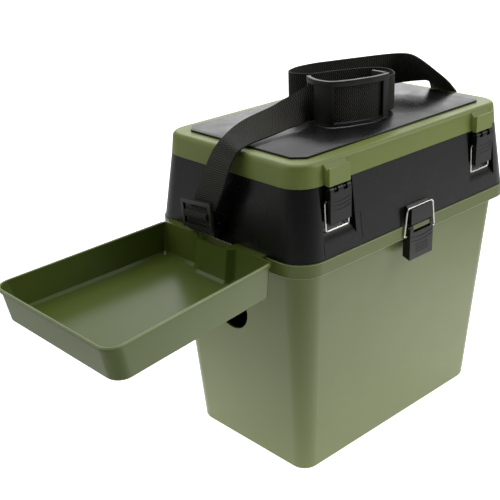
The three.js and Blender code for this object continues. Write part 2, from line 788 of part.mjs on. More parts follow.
// The tray's outline, drawn in by given amounts at its ends and sides, with the recess
function trayRing(endInset, sideInset, rounding) {
  const x0 = -endInset;
  const x1 = endInset - trayLength;
  const innerHalf = trayInnerHalf - sideInset;
  const outerHalf = trayOuterHalf - sideInset;
  const outerRadius = trayOuterRadius - rounding;
  const ring = roundedPolygon([
    [x0, -innerHalf, trayInnerRadius - rounding],
    [x0, innerHalf, trayInnerRadius - rounding],
    [x1, outerHalf, outerRadius],
    [x1, -outerHalf, outerRadius],
  ]);
  const ramp = [];
  for (let k = 0; k <= rampSteps; k += 1) {
    const share = k / rampSteps;
    const eased = (1 - Math.cos(share * Math.PI)) / 2;
    ramp.push({ share, eased });
  }
  const into = ramp.map(({ share, eased }) => new THREE.Vector2(x0 - recessDepth * eased,
    recessFront + (recessFrontEnd - recessFront) * share));
  const out = ramp.map(({ share, eased }) => new THREE.Vector2(x0 - recessDepth * (1 - eased),
    recessBackStart + (recessBack - recessBackStart) * share));
  ring.splice(cornerSteps + 1, 0, ...into, ...out);
  return ring;
}

// Side tray: drooping tapered tray with a rim flange, hook plates, lips and gussets
function makeTray() {
  const wallTop = trayFlangeProud;
  const tilt = new THREE.Matrix4().makeTranslation(trayRimX, 0, trayRimZ)
    .multiply(new THREE.Matrix4().makeRotationY(THREE.MathUtils.degToRad(-trayDroop)));
  const shape = (levels) => solid(loft(levels.map(([z, end, side, rounding]) => ({
    z, ring: trayRing(end, side, rounding),
  }))).applyMatrix4(tilt));
  const endAtFloor = wallTop + trayEndDraft;
  const sideAtFloor = wallTop + traySideDraft;
  const rounding = trayFloorRounding / 2;
  const outside = shape([
    [-trayDepth, endAtFloor + rounding, sideAtFloor + rounding, rounding],
    [rounding - trayDepth, endAtFloor, sideAtFloor, 0],
    [-trayFlangeDepth, wallTop, wallTop, 0],
    [-trayFlangeDepth, 0, 0, 0],
    [0, 0, 0, 0],
  ]);
  const floor = trayWall - trayDepth;
  const endInside = endAtFloor + trayWall;
  const sideInside = sideAtFloor + trayWall;
  const inside = shape([
    [floor, endInside + trayFloorRounding, sideInside + trayFloorRounding, trayWall],
    [floor + trayFloorRounding, endInside, sideInside, trayWall],
    [0, trayWall, trayWall, trayWall],
    [overrun, trayWall, trayWall, trayWall],
  ]);
  const hooks = trayTabs.flatMap(({ y0, y1 }) => {
    const plate = block(tabRootX, trayLipInnerX, y0, y1, sectionFootZ, sectionFootZ + tabThickness);
    const lip = block(trayLipOuterX, trayLipInnerX, y0, y1,
      seamZ - trayLipDrop, sectionFootZ + tabThickness);
    const gussets = gussetShares.map((share) => {
      const y = y0 + share * (y1 - y0 - gussetThickness);
      return profileY([
        [-bandHalfX - seat, sectionFootZ + seat],
        [-bandHalfX - seat, seamZ - gussetDrop + gussetToe],
        [-bandHalfX - seat - gussetToe, seamZ - gussetDrop],
        [tabRootX, seamZ - gussetDrop],
        [tabRootX, sectionFootZ + seat],
      ], y, y + gussetThickness);
    });
    return [plate, lip, ...gussets];
  });
  return cut(join(outside, ...hooks), inside);
}

// An outline in X and Z pulled along Y between two ends
function profileY(outline, y0, y1) {
  const shape = new THREE.Shape(outline.map(([x, z]) => new THREE.Vector2(x, z)));
  const geometry = new THREE.ExtrudeGeometry(shape, { depth: y1 - y0, bevelEnabled: false });
  geometry.rotateX(Math.PI / 2);
  geometry.translate(0, y1, 0);
  return solid(geometry);
}

// The outer face of the section's end wall at a height
function endWallX(z) {
  return between(z, seamZ, sectionFootHalfX, sectionTopZ, sectionTopHalfX);
}

function bracketScrewHole({ sign, y }) {
  const holes = [-screwSpread, screwSpread].map((offset) => {
    const x = endWallX(screwZ);
    const radius = screwRadius + screwClearance;
    const bore = new THREE.CylinderGeometry(radius, radius, screwBoreLength, smallSides);
    bore.rotateZ(Math.PI / 2);
    bore.translate(sign * x, y + offset, screwZ);
    return solid(bore);
  });
  return join(...holes);
}

// Strap bracket: plate on the end wall, two ears and a round bar for the webbing
function makeBracket({ sign, y }) {
  const plateAt = (z) => endWallX(z) + seat;
  const y0 = y - bracketHalfWidth;
  const y1 = y + bracketHalfWidth;
  const place = (outline) => (sign < 0 ? outline : [...outline].reverse()).map(([x, z]) => [sign * x, z]);
  const plate = profileY(place([
    [plateAt(bracketBottomZ), bracketBottomZ],
    [plateAt(bracketTopZ), bracketTopZ],
    [plateAt(bracketTopZ) + bracketPlate / 2, bracketTopZ],
    [plateAt(bracketTopZ - bracketPlate) + bracketPlate, bracketTopZ - bracketPlate],
    [plateAt(bracketBottomZ) + bracketPlate, bracketBottomZ],
  ]), y0, y1);
  const ear = [
    [plateAt(bracketBottomZ), bracketBottomZ],
    [plateAt(bracketTopZ), bracketTopZ],
    [plateAt(bracketTopZ) + bracketPlate / 2, bracketTopZ],
    [bracketBarX + bracketEarRadius, bracketBarZ + bracketEarRadius / 2],
    [bracketBarX + bracketEarRadius, bracketBarZ - bracketEarRadius / 2],
    [bracketBarX + bracketEarRadius / 2, bracketBarZ - bracketEarRadius],
    [bracketBarX - bracketEarRadius, bracketBarZ - bracketEarRadius],
  ];
  const ears = [[y0, y0 + bracketEar], [y1 - bracketEar, y1]].map(([a, b]) => profileY(place(ear), a, b));
  const barLength = bracketHalfWidth * 2 - bracketEar;
  const bar = new THREE.CylinderGeometry(bracketBarRadius, bracketBarRadius, barLength, smallSides);
  bar.translate(sign * bracketBarX, y, bracketBarZ);
  return cut(join(plate, ...ears, solid(bar)), bracketScrewHole({ sign, y }));
}

// A pan-headed screw through the bracket's plate into the wall, along X
function makeScrew({ sign, y }, offset) {
  const seatX = endWallX(screwZ - screwHeadRadius) + seat * 2 + bracketPlate;
  const profile = [
    [0, -screwLength], [screwTipRadius, -screwLength], [screwRadius, screwRadius - screwLength],
    [screwRadius, 0], [screwHeadRadius, 0], [screwHeadRadius, screwHeadHeight / 2],
    [screwCrownRadius, screwHeadHeight], [0, screwHeadHeight],
  ].map(([r, h]) => new THREE.Vector2(r, h));
  const geometry = new THREE.LatheGeometry(profile, smallSides);
  geometry.rotateZ(-sign * Math.PI / 2);
  geometry.translate(sign * seatX, y + offset, screwZ);
  return solid(outward(geometry.index ? geometry : mergeVertices(geometry)));
}

// Webbing through stations given by its two edges, [[x, y, z], [x, y, z]]
function webbing(stations) {
  const edges = stations.map(([a, b]) => [new THREE.Vector3(...a), new THREE.Vector3(...b)]);
  const middles = edges.map(([a, b]) => a.clone().add(b).divideScalar(2));
  const rings = edges.map(([a, b], i) => {
    const ahead = middles[Math.min(i + 1, middles.length - 1)].clone().sub(middles[Math.max(i - 1, 0)]);
    const across = b.clone().sub(a).normalize();
    const face = new THREE.Vector3().crossVectors(ahead, across).setLength(strapThickness / 2);
    return [a.clone().add(face), b.clone().add(face), b.clone().sub(face), a.clone().sub(face)];
  });
  return solid(ringSkin(rings));
}

// Where the slider hangs: off the end wall, turned a little, with its front edge raised
function sliderPlace() {
  const middleZ = (sliderBottomZ + sliderTopZ) / 2;
  return new THREE.Matrix4().makeTranslation(-sliderX, sliderY, middleZ)
    .multiply(new THREE.Matrix4().makeRotationZ(THREE.MathUtils.degToRad(-sliderTwist)))
    .multiply(new THREE.Matrix4().makeRotationX(THREE.MathUtils.degToRad(-sliderRoll)));
}

// The strap's stations through the slider: behind its lower bar, over its middle bar
// and in behind it again. Each row is [out, up] from the middle bar.
function sliderStations() {
  const clear = sliderMiddleRadius + seat + strapThickness / 2;
  const inside = sliderDepth / 2 + webbingGap + strapThickness / 2;
  const round = clear + seat;
  const rows = [
    [-inside - seat, sliderBar + strapThickness - (sliderTopZ - sliderBottomZ) / 2],
    [-inside, -clear * 2],
  ];
  for (let k = 0; k <= bendSteps; k += 1) {
    const angle = (k / bendSteps - 1 / 2) * Math.PI / 2;
    rows.push([round * Math.cos(angle), round * Math.sin(angle)]);
  }
  rows.push([-inside, clear * 2]);
  const place = sliderPlace();
  const edge = (out, side, up) => new THREE.Vector3(-out, side * strapWidth / 2, up).applyMatrix4(place);
  return rows.map(([out, up]) => [edge(out, -1, up).toArray(), edge(out, 1, up).toArray()]);
}

function wrapPath() {
  const wrap = [];
  for (let k = 0; k <= cornerSteps; k += 1) {
    const angle = Math.PI + Math.PI * k / cornerSteps;
    wrap.push([bracketBarX + wrapRadius * Math.cos(angle), bracketBarZ + wrapRadius * Math.sin(angle)]);
  }
  return wrap;
}

// Stations from [x, z] rows at a steady place along Y
function runStations(sign, y, rows) {
  return rows.map(([x, z]) => [[sign * x, y - strapWidth / 2, z], [sign * x, y + strapWidth / 2, z]]);
}

// The strap's free stations, as [x, y, z] shares of the lid's half length, its half width
// and the strap's width above the lid, first the lower or front edge and then the other
const leftClimbShares = [
  [[-1.136, -0.085, -1.49], [-1.125, 0.271, -1.55]],
  [[-1.135, -0.156, -1.128], [-1.121, 0.21, -1.158]],
  [[-1.118, -0.189, -0.823], [-1.102, 0.176, -0.848]],
  [[-1.096, -0.206, -0.512], [-1.076, 0.158, -0.575]],
  [[-1.084, -0.21, -0.388], [-1.059, 0.154, -0.435]],
];
const topStartShares = [
  [[-1.083, -0.21, -0.355], [-1.057, 0.153, -0.403]],
  [[-1.073, -0.214, -0.248], [-1.037, 0.147, -0.263]],
  [[-1.048, -0.221, -0.085], [-1.001, 0.136, -0.033]],
  [[-1.033, -0.262, 0.11], [-0.971, 0.09, 0.188]],
  [[-0.935, -0.207, 0.135], [-0.868, 0.135, 0.33]],
  [[-0.836, -0.174, 0.135], [-0.761, 0.149, 0.463]],
  [[-0.731, -0.157, 0.135], [-0.651, 0.15, 0.545]],
  [[-0.62, -0.134, 0.142], [-0.529, 0.152, 0.615]],
  [[-0.518, -0.118, 0.16], [-0.42, 0.129, 0.755]],
  [[-0.451, -0.141, 0.185], [-0.358, 0.027, 0.97]],
];
// Inside the cover and round both loops the strap stands on edge: [x, y] shares
const loopPathShares = [
  [-0.335, -0.1], [-0.303, -0.18], [-0.298, -0.305], [-0.272, -0.36], [-0.205, -0.424],
  [-0.13, -0.466], [-0.055, -0.507], [0.015, -0.522], [0.07, -0.515], [0.13, -0.47], [0.2, -0.455],
  [0.258, -0.4], [0.31, -0.28], [0.318, -0.17], [0.28, -0.07], [0.196, 0.03], [0.05, 0.146],
  [-0.07, 0.215], [-0.12, 0.27], [-0.152, 0.36], [-0.158, 0.45], [-0.13, 0.52], [-0.07, 0.565],
  [0.02, 0.59], [0.16, 0.56], [0.28, 0.49], [0.4, 0.42], [0.53, 0.34], [0.65, 0.26],
];
const topEndShares = [
  [[0.745, 0.21, 0.22], [0.735, 0.175, 1.19]],
  [[0.82, 0.1, 0.27], [0.755, 0.07, 1.2]],
  [[0.86, 0.0, 0.31], [0.75, -0.03, 1.18]],
  [[0.885, -0.05, 0.32], [0.745, -0.15, 1.08]],
  [[0.915, -0.06, 0.27], [0.78, -0.29, 0.8]],
  [[0.955, -0.03, 0.14], [0.88, -0.35, 0.42]],
  [[0.985, -0.005, 0.03], [0.95, -0.365, 0.13]],
  [[1.008, 0.01, -0.09], [0.99, -0.36, -0.03]],
  [[1.022, 0.015, -0.24], [1.012, -0.35, -0.24]],
  [[1.027, 0.015, -0.34], [1.022, -0.35, -0.34]],
];
const rightClimbShares = [
  [[1.028, 0.016, -0.37], [1.024, -0.348, -0.37]],
  [[1.042, 0.03, -0.7], [1.04, -0.335, -0.7]],
  [[1.062, 0.05, -1.1], [1.062, -0.315, -1.1]],
  [[1.086, 0.07, -1.55], [1.086, -0.295, -1.55]],
];

const lidPlace = ([x, y, z]) => [x * sectionTopHalfX, y * sectionTopHalfY, lidTopZ + z * strapWidth];
const freeStations = (rows) => rows.map(([a, b]) => [lidPlace(a), lidPlace(b)]);

function makeLeftRun() {
  const { sign, y } = bracketSides[0];
  const leaving = [bracketBarX + wrapRadius + seat, bracketBarZ + bracketBarRadius];
  const low = runStations(sign, y, [...wrapPath(), leaving]);
  return webbing([...low, ...sliderStations(), ...freeStations(leftClimbShares)]);
}

function makeRightRun() {
  const { sign, y } = bracketSides[1];
  const leaving = [bracketBarX + wrapRadius + seat, bracketBarZ + wrapRadius * 2];
  const low = runStations(sign, y, [...wrapPath(), leaving]);
  return webbing([...low.map(([a, b]) => [b, a]), ...freeStations([...rightClimbShares].reverse())]);
}

function makeTopRun() {
  const standing = loopPathShares.map(([x, y]) => {
    const place = [x * sectionTopHalfX, y * sectionTopHalfY];
    return [[...place, strapBottomZ], [...place, strapBottomZ + strapWidth]];
  });
  return webbing([...freeStations(topStartShares), ...standing, ...freeStations(topEndShares)]);
}

// Slider: a frame with a middle bar
function makeSlider() {
  const halfDepth = sliderDepth / 2;
  const halfHeight = (sliderTopZ - sliderBottomZ) / 2;
  const outside = roundedRing(sliderHalfWidth, halfHeight, sliderBar / 2, sliderCornerSteps);
  const inside = roundedRing(sliderHalfWidth - sliderBar, halfHeight - sliderBar,
    sliderInnerRadius, sliderCornerSteps);
  const frame = new THREE.Shape(outside);
  frame.holes.push(new THREE.Path(inside));
  const plate = new THREE.ExtrudeGeometry(frame, { depth: sliderDepth, bevelEnabled: false });
  plate.translate(0, 0, -halfDepth);
  plate.applyMatrix4(new THREE.Matrix4().makeBasis(
    new THREE.Vector3(0, 1, 0), new THREE.Vector3(0, 0, 1), new THREE.Vector3(1, 0, 0)));
  const barLength = sliderHalfWidth * 2 - sliderBar;
  const bar = new THREE.CylinderGeometry(sliderMiddleRadius, sliderMiddleRadius, barLength, smallSides);
  const place = sliderPlace();
  return join(solid(plate.applyMatrix4(place)), solid(bar.applyMatrix4(place)));
}

// A standing wall along a plan path, between two heights
function standingWall(path, thickness, z0, z1) {
  const rings = path.map((p, i) => {
    const ahead = path[Math.min(i + 1, path.length - 1)].clone().sub(path[Math.max(i - 1, 0)]).normalize();
    const across = new THREE.Vector2(-ahead.y, ahead.x).multiplyScalar(thickness / 2);
    const near = p.clone().add(across);
    const far = p.clone().sub(across);
    return [
      new THREE.Vector3(near.x, near.y, z0), new THREE.Vector3(near.x, near.y, z1),
      new THREE.Vector3(far.x, far.y, z1), new THREE.Vector3(far.x, far.y, z0),
    ];
  });
  return solid(ringSkin(rings));
}

// Shoulder pad cover: rims above and below, an entry slot, a bridge, the window and an end bar
function makeCover() {
  const path = coverPathShares.map(([x, y]) => new THREE.Vector2(x * sectionTopHalfX, y * sectionTopHalfY));
  const topZ = coverBottomZ + coverHeight;
  const thick = coverThickness + overrun * 2;
  const entry = standingWall(path.slice(1, 4), thick, coverBottomZ + coverSlotRim, topZ - coverSlotRim);
  const window = standingWall(path.slice(5, 9), thick, coverBottomZ + coverRim, topZ - coverRim);
  return cut(standingWall(path, coverThickness, coverBottomZ, topZ), entry, window);
}

// The assembly
const group = new THREE.Group();
group.add(piece("bin_shell", makeBin(), "green"));
group.add(piece("section_shell", makeSection(), "black"));
group.add(piece("lid_shell", makeLid(), "green"));
group.add(piece("seat_pad", makeSeatPad(), "padding"));
for (const [side, sign] of [["left", -1], ["right", 1]]) {
  group.add(piece(`section_hinge_pin_${side}`, hingePin(sign * hingeSpread, lowerAxisY, seamZ), "steel"));
  group.add(piece(`lid_hinge_pin_${side}`, hingePin(sign * hingeSpread, upperAxisY, sectionTopZ), "steel"));
  const x = sign * latchX;
  const half = leverWidth / 2;
  group.add(piece(`${side}_latch_lever`, makeUpperLever(x), "black"));
  const pin = barX(x - half, x + half, -leverAxisY, leverAxisZ, leverPinRadius, smallSides);
  group.add(piece(`${side}_latch_pin`, pin, "steel"));
  const bail = makeBail(x, [bailAxisY, bailAxisZ], [bailAxisY, bailAxisZ - bailLength],
    bailSpacing, bailBarSpacing, half - bailSocket);
  group.add(piece(`${side}_latch_bail`, bail, "steel"));
}
group.add(piece("centre_latch_lever", makeCentreLever(), "black"));
const centrePin = barX(-centreHalfX, centreHalfX, -centreAxisY, centreAxisZ, leverPinRadius, smallSides);
group.add(piece("centre_latch_pin", centrePin, "steel"));
const centreBail = makeBail(0, [centreBailAxisY, centreBailAxisZ], [centreBailAxisY, centreBailBarZ],
  centreBailSpacing, centreBailBarSpacing, centreHalfX - bailSocket);
group.add(piece("centre_latch_bail", centreBail, "steel"));
group.add(piece("side_tray", makeTray(), "green"));
for (const side of bracketSides) {
  group.add(piece(`${side.name}_strap_bracket`, makeBracket(side), "black"));
  group.add(piece(`${side.name}_bracket_screw_front`, makeScrew(side, -screwSpread), "steel"));
  group.add(piece(`${side.name}_bracket_screw_rear`, makeScrew(side, screwSpread), "steel"));
}
group.add(piece("strap_slider", makeSlider(), "black"));
group.add(piece("strap_left_run", makeLeftRun(), "webbing"));
group.add(piece("strap_top_run", makeTopRun(), "webbing"));
group.add(piece("strap_right_run", makeRightRun(), "webbing"));
group.add(piece("shoulder_pad_cover", makeCover(), "black"));

export default group;
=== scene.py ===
import json
import math

import bpy
from mathutils import Matrix, Vector

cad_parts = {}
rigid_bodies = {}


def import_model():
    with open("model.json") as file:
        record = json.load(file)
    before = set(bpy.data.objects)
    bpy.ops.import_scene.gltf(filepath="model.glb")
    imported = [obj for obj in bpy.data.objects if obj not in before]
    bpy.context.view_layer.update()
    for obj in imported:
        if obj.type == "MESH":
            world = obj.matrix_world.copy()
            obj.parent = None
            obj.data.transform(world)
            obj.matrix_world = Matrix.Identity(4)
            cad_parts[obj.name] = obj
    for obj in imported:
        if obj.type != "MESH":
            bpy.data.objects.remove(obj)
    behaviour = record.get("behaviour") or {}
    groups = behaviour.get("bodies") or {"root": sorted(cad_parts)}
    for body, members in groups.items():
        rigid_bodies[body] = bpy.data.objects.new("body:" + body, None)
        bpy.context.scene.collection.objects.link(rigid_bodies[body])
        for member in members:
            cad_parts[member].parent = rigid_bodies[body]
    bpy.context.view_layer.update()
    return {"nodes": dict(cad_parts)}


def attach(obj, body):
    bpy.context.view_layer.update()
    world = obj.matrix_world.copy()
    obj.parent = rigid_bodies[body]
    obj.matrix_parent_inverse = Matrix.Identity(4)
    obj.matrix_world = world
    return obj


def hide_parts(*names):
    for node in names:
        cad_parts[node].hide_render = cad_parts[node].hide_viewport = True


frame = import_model()

MM = 0.001

# The camera at the photograph's viewing angle: degrees and millimetres
CAMERA_AZIMUTH = -42.466
CAMERA_ELEVATION = 23.136
CAMERA_ROLL = -2.120
CAMERA_PLACE = (-804.85, -717.88, 667.14)
CAMERA_LENS = 67.906
CAMERA_SENSOR = 36

# Sizes that the looks share with the solids, in millimetres
SECTION_FOOT_Z = 275.5
SECTION_RISE = 76.5
SECTION_FOOT_HALF_Y = 118.95
SECTION_DRAFT = 9.65
SECTION_TOP_HALF_X = 178.9
SECTION_TOP_HALF_Y = 109.3
BAY_FLOOR_Y = 107.9
BAY_FOOT_Z = 291
LID_TOP_Z = 376.6
STRAP_WIDTH = 40
STRAP_THICKNESS = 1.9
STRAP_LOW_EDGE_Z = 384.2
STRAP_LEFT_Y = 17
STRAP_RIGHT_Y = -10
BRACKET_BAR_X = 197
BRACKET_BAR_Z = 285.5
BRACKET_BAR_RADIUS = 2
SLIDER_MIDDLE = (-206, 18.2, 305.9)
SLIDER_TWIST = 2.4
SLIDER_ROLL = 6.2
RIM_X = -196.6
RIM_Z = 278.5
RIM_LENGTH = 215.7
RIM_INNER_HALF = 87
RIM_OUTER_HALF = 101
RIM_RADIUS = 16
RIM_DROOP = 3
BAND_HALF_X = 188.6
BAND_HALF_Y = 120.3
BAND_RADIUS = 31.5
BAND_TOP_Z = 275.5
BAND_FOOT_Z = 260.4
PAD_HALF_X = 159.5
PAD_HALF_Y = 89.8
PAD_CORNER = 12
PAD_FOOT_Z = 376.75
PAD_TOP_Z = 378.8
COVER_FOOT_Z = 380.6
COVER_HEIGHT = 50.4

# Edges of the solids' copies: what counts as a double (metres) and as an edge (degrees)
DOUBLE = 0.000004
FLAT_ANGLE = 0.6
EDGE_ANGLE = 32
SMOOTH_ANGLE = 38


def deselect_all():
    for other in bpy.context.selected_objects:
        other.select_set(False)


def only(piece):
    deselect_all()
    piece.select_set(True)
    bpy.context.view_layer.objects.active = piece


def place_camera():
    azimuth, elevation, roll = (math.radians(a) for a in (CAMERA_AZIMUTH, CAMERA_ELEVATION, CAMERA_ROLL))
    back = Vector((math.sin(azimuth) * math.cos(elevation),
                   -math.cos(azimuth) * math.cos(elevation), math.sin(elevation)))
    level_right = Vector((math.cos(azimuth), math.sin(azimuth), 0))
    level_up = back.cross(level_right)
    right = level_right * math.cos(roll) + level_up * math.sin(roll)
    up = level_up * math.cos(roll) - level_right * math.sin(roll)
    data = bpy.data.cameras.new("camera")
    data.lens = CAMERA_LENS
    data.sensor_width = CAMERA_SENSOR
    camera = bpy.data.objects.new("camera", data)
    bpy.context.scene.collection.objects.link(camera)
    turn = Matrix((right, up, back)).transposed()
    camera.matrix_world = Matrix.Translation(Vector(CAMERA_PLACE) * MM) @ turn.to_4x4()
    bpy.context.scene.camera = camera


deselect_all()
place_camera()


# Nodes that the shader groups and the materials are built from
def new_group(name, inputs, outputs):
    group = bpy.data.node_groups.new(name, "ShaderNodeTree")
    for label, kind, value in inputs:
        socket = group.interface.new_socket(label, in_out="INPUT", socket_type=kind)
        if value is not None:
            socket.default_value = value
    for label, kind in outputs:
        group.interface.new_socket(label, in_out="OUTPUT", socket_type=kind)
    return group, group.nodes.new("NodeGroupInput"), group.nodes.new("NodeGroupOutput")


def add_math(tree, operation, first, second):
    node = tree.nodes.new("ShaderNodeMath")
    node.operation = operation
    for slot, value in enumerate((first, second)):
        if isinstance(value, (int, float)):
            node.inputs[slot].default_value = value
        else:
            tree.links.new(value, node.inputs[slot])
    return node.outputs[0]


# Up from 0 to 1 and down again over each whole step of the value
def add_wave(tree, value):
    return add_math(tree, "MULTIPLY", add_math(tree, "PINGPONG", value, 0.5), 2.0)


def add_noise(tree, vector, scale, detail, roughness=0.5):
    node = tree.nodes.new("ShaderNodeTexNoise")
    node.inputs["Scale"].default_value = scale
    node.inputs["Detail"].default_value = detail
    node.inputs["Roughness"].default_value = roughness
    tree.links.new(vector, node.inputs["Vector"])
    return node.outputs["Fac"]


def add_range(tree, value, low, high, out_low=0.0, out_high=1.0):
    node = tree.nodes.new("ShaderNodeMapRange")
    node.inputs["From Min"].default_value = low
    node.inputs["From Max"].default_value = high
    node.inputs["To Min"].default_value = out_low
    node.inputs["To Max"].default_value = out_high
    tree.links.new(value, node.inputs["Value"])
    return node.outputs["Result"]


def add_colour_mix(tree, factor):
    mix = tree.nodes.new("ShaderNodeMix")
    mix.data_type = "RGBA"
    tree.links.new(factor, mix.inputs["Factor"])
    return mix


# Moulded plastic: fine grain, slow waviness of the wall, cloudy colour and rubbed patches
WAVINESS = 6.0


def make_moulded_group():
    tree, inputs, outputs = new_group("moulded plastic", [
        ("Vector", "NodeSocketVector", None),
        ("Light tone", "NodeSocketColor", (0.2, 0.2, 0.2, 1)),
        ("Dark tone", "NodeSocketColor", (0.1, 0.1, 0.1, 1)),
        ("Roughness", "NodeSocketFloat", 0.4),
        ("Rubbing", "NodeSocketFloat", 0.1),
        ("Grain", "NodeSocketFloat", 0.25),
    ], [("Color", "NodeSocketColor"), ("Roughness", "NodeSocketFloat"), ("Height", "NodeSocketFloat")])
    vector = inputs.outputs["Vector"]
    clouds = add_range(tree, add_noise(tree, vector, scale=14, detail=3), low=0.3, high=0.7)
    mix = add_colour_mix(tree, clouds)
    tree.links.new(inputs.outputs["Dark tone"], mix.inputs["A"])
    tree.links.new(inputs.outputs["Light tone"], mix.inputs["B"])
    tree.links.new(mix.outputs["Result"], outputs.inputs["Color"])
    patches = add_range(tree, add_noise(tree, vector, scale=30, detail=4, roughness=0.6),
                        low=0.35, high=0.75, out_low=-1, out_high=1)
    rubbed = add_math(tree, "MULTIPLY", patches, inputs.outputs["Rubbing"])
    tree.links.new(add_math(tree, "ADD", inputs.outputs["Roughness"], rubbed), outputs.inputs["Roughness"])
    grain = add_math(tree, "MULTIPLY", add_noise(tree, vector, scale=1400, detail=1), inputs.outputs["Grain"])
    waves = add_math(tree, "MULTIPLY", add_noise(tree, vector, scale=22, detail=1), WAVINESS)
    tree.links.new(add_math(tree, "ADD", grain, waves), outputs.inputs["Height"])
    return tree


# Closed pad skin: pebbled grain over a sheet that is laid a little uneven
UNEVENNESS = 14.0


def make_pebble_group():
    tree, inputs, outputs = new_group("pebbled skin", [
        ("Vector", "NodeSocketVector", None),
        ("Cell", "NodeSocketFloat", 700.0),
    ], [("Height", "NodeSocketFloat"), ("Mask", "NodeSocketFloat")])
    vector = inputs.outputs["Vector"]
    cells = tree.nodes.new("ShaderNodeTexVoronoi")
    cells.feature = "SMOOTH_F1"
    tree.links.new(vector, cells.inputs["Vector"])
    tree.links.new(inputs.outputs["Cell"], cells.inputs["Scale"])
    pebbles = add_math(tree, "SUBTRACT", 1.0, cells.outputs["Distance"])
    uneven = add_math(tree, "MULTIPLY", add_noise(tree, vector, scale=9, detail=2), UNEVENNESS)
    tree.links.new(add_math(tree, "ADD", pebbles, uneven), outputs.inputs["Height"])
    worn = add_range(tree, add_noise(tree, vector, scale=40, detail=3), low=0.35, high=0.7)
    tree.links.new(worn, outputs.inputs["Mask"])
    return tree


# Webbing: rows of picks that zigzag across the width, cut up by the threads along it. The map is
# 0 to 1 across the strap and counts the strap's widths along it.
ZIGZAG_LEAN = 1.2
THREADS_ACROSS = 26.0
THREAD_DEPTH = 0.55


def make_weave_group():
    tree, inputs, outputs = new_group("zigzag weave", [
        ("Vector", "NodeSocketVector", None),
        ("Rows", "NodeSocketFloat", 16.0),
        ("Zigzags", "NodeSocketFloat", 7.0),
    ], [("Height", "NodeSocketFloat"), ("Mask", "NodeSocketFloat")])
    split = tree.nodes.new("ShaderNodeSeparateXYZ")
    tree.links.new(inputs.outputs["Vector"], split.inputs[0])
    across, along = split.outputs[0], split.outputs[1]
    zigzag = add_math(tree, "PINGPONG", add_math(tree, "MULTIPLY", across, inputs.outputs["Zigzags"]), 0.5)
    row = add_math(tree, "ADD", add_math(tree, "MULTIPLY", along, inputs.outputs["Rows"]),
                   add_math(tree, "MULTIPLY", zigzag, ZIGZAG_LEAN))
    thread = add_wave(tree, add_math(tree, "MULTIPLY", across, THREADS_ACROSS))
    cut = add_math(tree, "ADD", add_math(tree, "MULTIPLY", thread, THREAD_DEPTH), 1 - THREAD_DEPTH)
    picks = add_math(tree, "MULTIPLY", add_wave(tree, row), cut)
    tree.links.new(picks, outputs.inputs["Height"])
    # the mask grows with the picks' height and lightens the cloth there as a painted highlight
    tree.links.new(add_range(tree, picks, low=0.35, high=0.85), outputs.inputs["Mask"])
    return tree


MOULDED = make_moulded_group()
PEBBLE = make_pebble_group()
WEAVE = make_weave_group()

# Depth of the bumps, in metres
MOULDED_DEPTH = 0.00003
PEBBLE_DEPTH = 0.00006
WEAVE_DEPTH = 0.0006


def start_material(name):
    material = bpy.data.materials.new(name)
    material.use_nodes = True
    tree = material.node_tree
    return material, tree, tree.nodes["Principled BSDF"], tree.nodes.new("ShaderNodeTexCoord")


def place_group(tree, group, vector):
    node = tree.nodes.new("ShaderNodeGroup")
    node.node_tree = group
    tree.links.new(vector, node.inputs["Vector"])
    return node


def bump_from(tree, shader, height, strength, depth):
    bump = tree.nodes.new("ShaderNodeBump")
    bump.inputs["Strength"].default_value = strength
    bump.inputs["Distance"].default_value = depth
    tree.links.new(height, bump.inputs["Height"])
    tree.links.new(bump.outputs["Normal"], shader.inputs["Normal"])


def moulded(name, light, dark, roughness, rubbing, gloss=0.5, grain=0.2):
    material, tree, shader, coordinates = start_material(name)
    group = place_group(tree, MOULDED, coordinates.outputs["Object"])
    group.inputs["Light tone"].default_value = (*light, 1)
    group.inputs["Dark tone"].default_value = (*dark, 1)
    group.inputs["Roughness"].default_value = roughness
    group.inputs["Rubbing"].default_value = rubbing
    group.inputs["Grain"].default_value = grain
    tree.links.new(group.outputs["Color"], shader.inputs["Base Color"])
    tree.links.new(group.outputs["Roughness"], shader.inputs["Roughness"])
    shader.inputs["Specular IOR Level"].default_value = gloss
    bump_from(tree, shader, group.outputs["Height"], strength=0.5, depth=MOULDED_DEPTH)
    return material


def pad_skin():
    material, tree, shader, coordinates = start_material("pad skin")
    group = place_group(tree, PEBBLE, coordinates.outputs["Object"])
    shader.inputs["Base Color"].default_value = (0.011, 0.011, 0.012, 1)
    shine = add_range(tree, group.outputs["Mask"], low=0, high=1, out_low=0.26, out_high=0.36)
    tree.links.new(shine, shader.inputs["Roughness"])
    bump_from(tree, shader, group.outputs["Height"], strength=0.5, depth=PEBBLE_DEPTH)
    return material


def webbing_cloth():
    material, tree, shader, coordinates = start_material("webbing cloth")
    group = place_group(tree, WEAVE, coordinates.outputs["UV"])
    # The weave's pattern is real; its much lighter tone on the raised picks is a painted highlight standing
    # in for their sheen
    mix = add_colour_mix(tree, group.outputs["Mask"])
    mix.inputs["A"].default_value = (0.013, 0.013, 0.0105, 1)
    mix.inputs["B"].default_value = (0.125, 0.121, 0.096, 1)
    tree.links.new(mix.outputs["Result"], shader.inputs["Base Color"])
    shader.inputs["Roughness"].default_value = 0.75
    shader.inputs["Specular IOR Level"].default_value = 0.25
    shader.inputs["Sheen Weight"].default_value = 0.04
    bump_from(tree, shader, group.outputs["Height"], strength=0.9, depth=WEAVE_DEPTH)
    return material


def bright_wire():
    material, tree, shader, coordinates = start_material("bright wire")
    marks = add_noise(tree, coordinates.outputs["Object"], scale=400, detail=3)
    shine = add_range(tree, marks, low=0.3, high=0.7, out_low=0.18, out_high=0.3)
    tree.links.new(shine, shader.inputs["Roughness"])
    shader.inputs["Base Color"].default_value = (0.72, 0.7, 0.66, 1)
    shader.inputs["Metallic"].default_value = 1
    return material


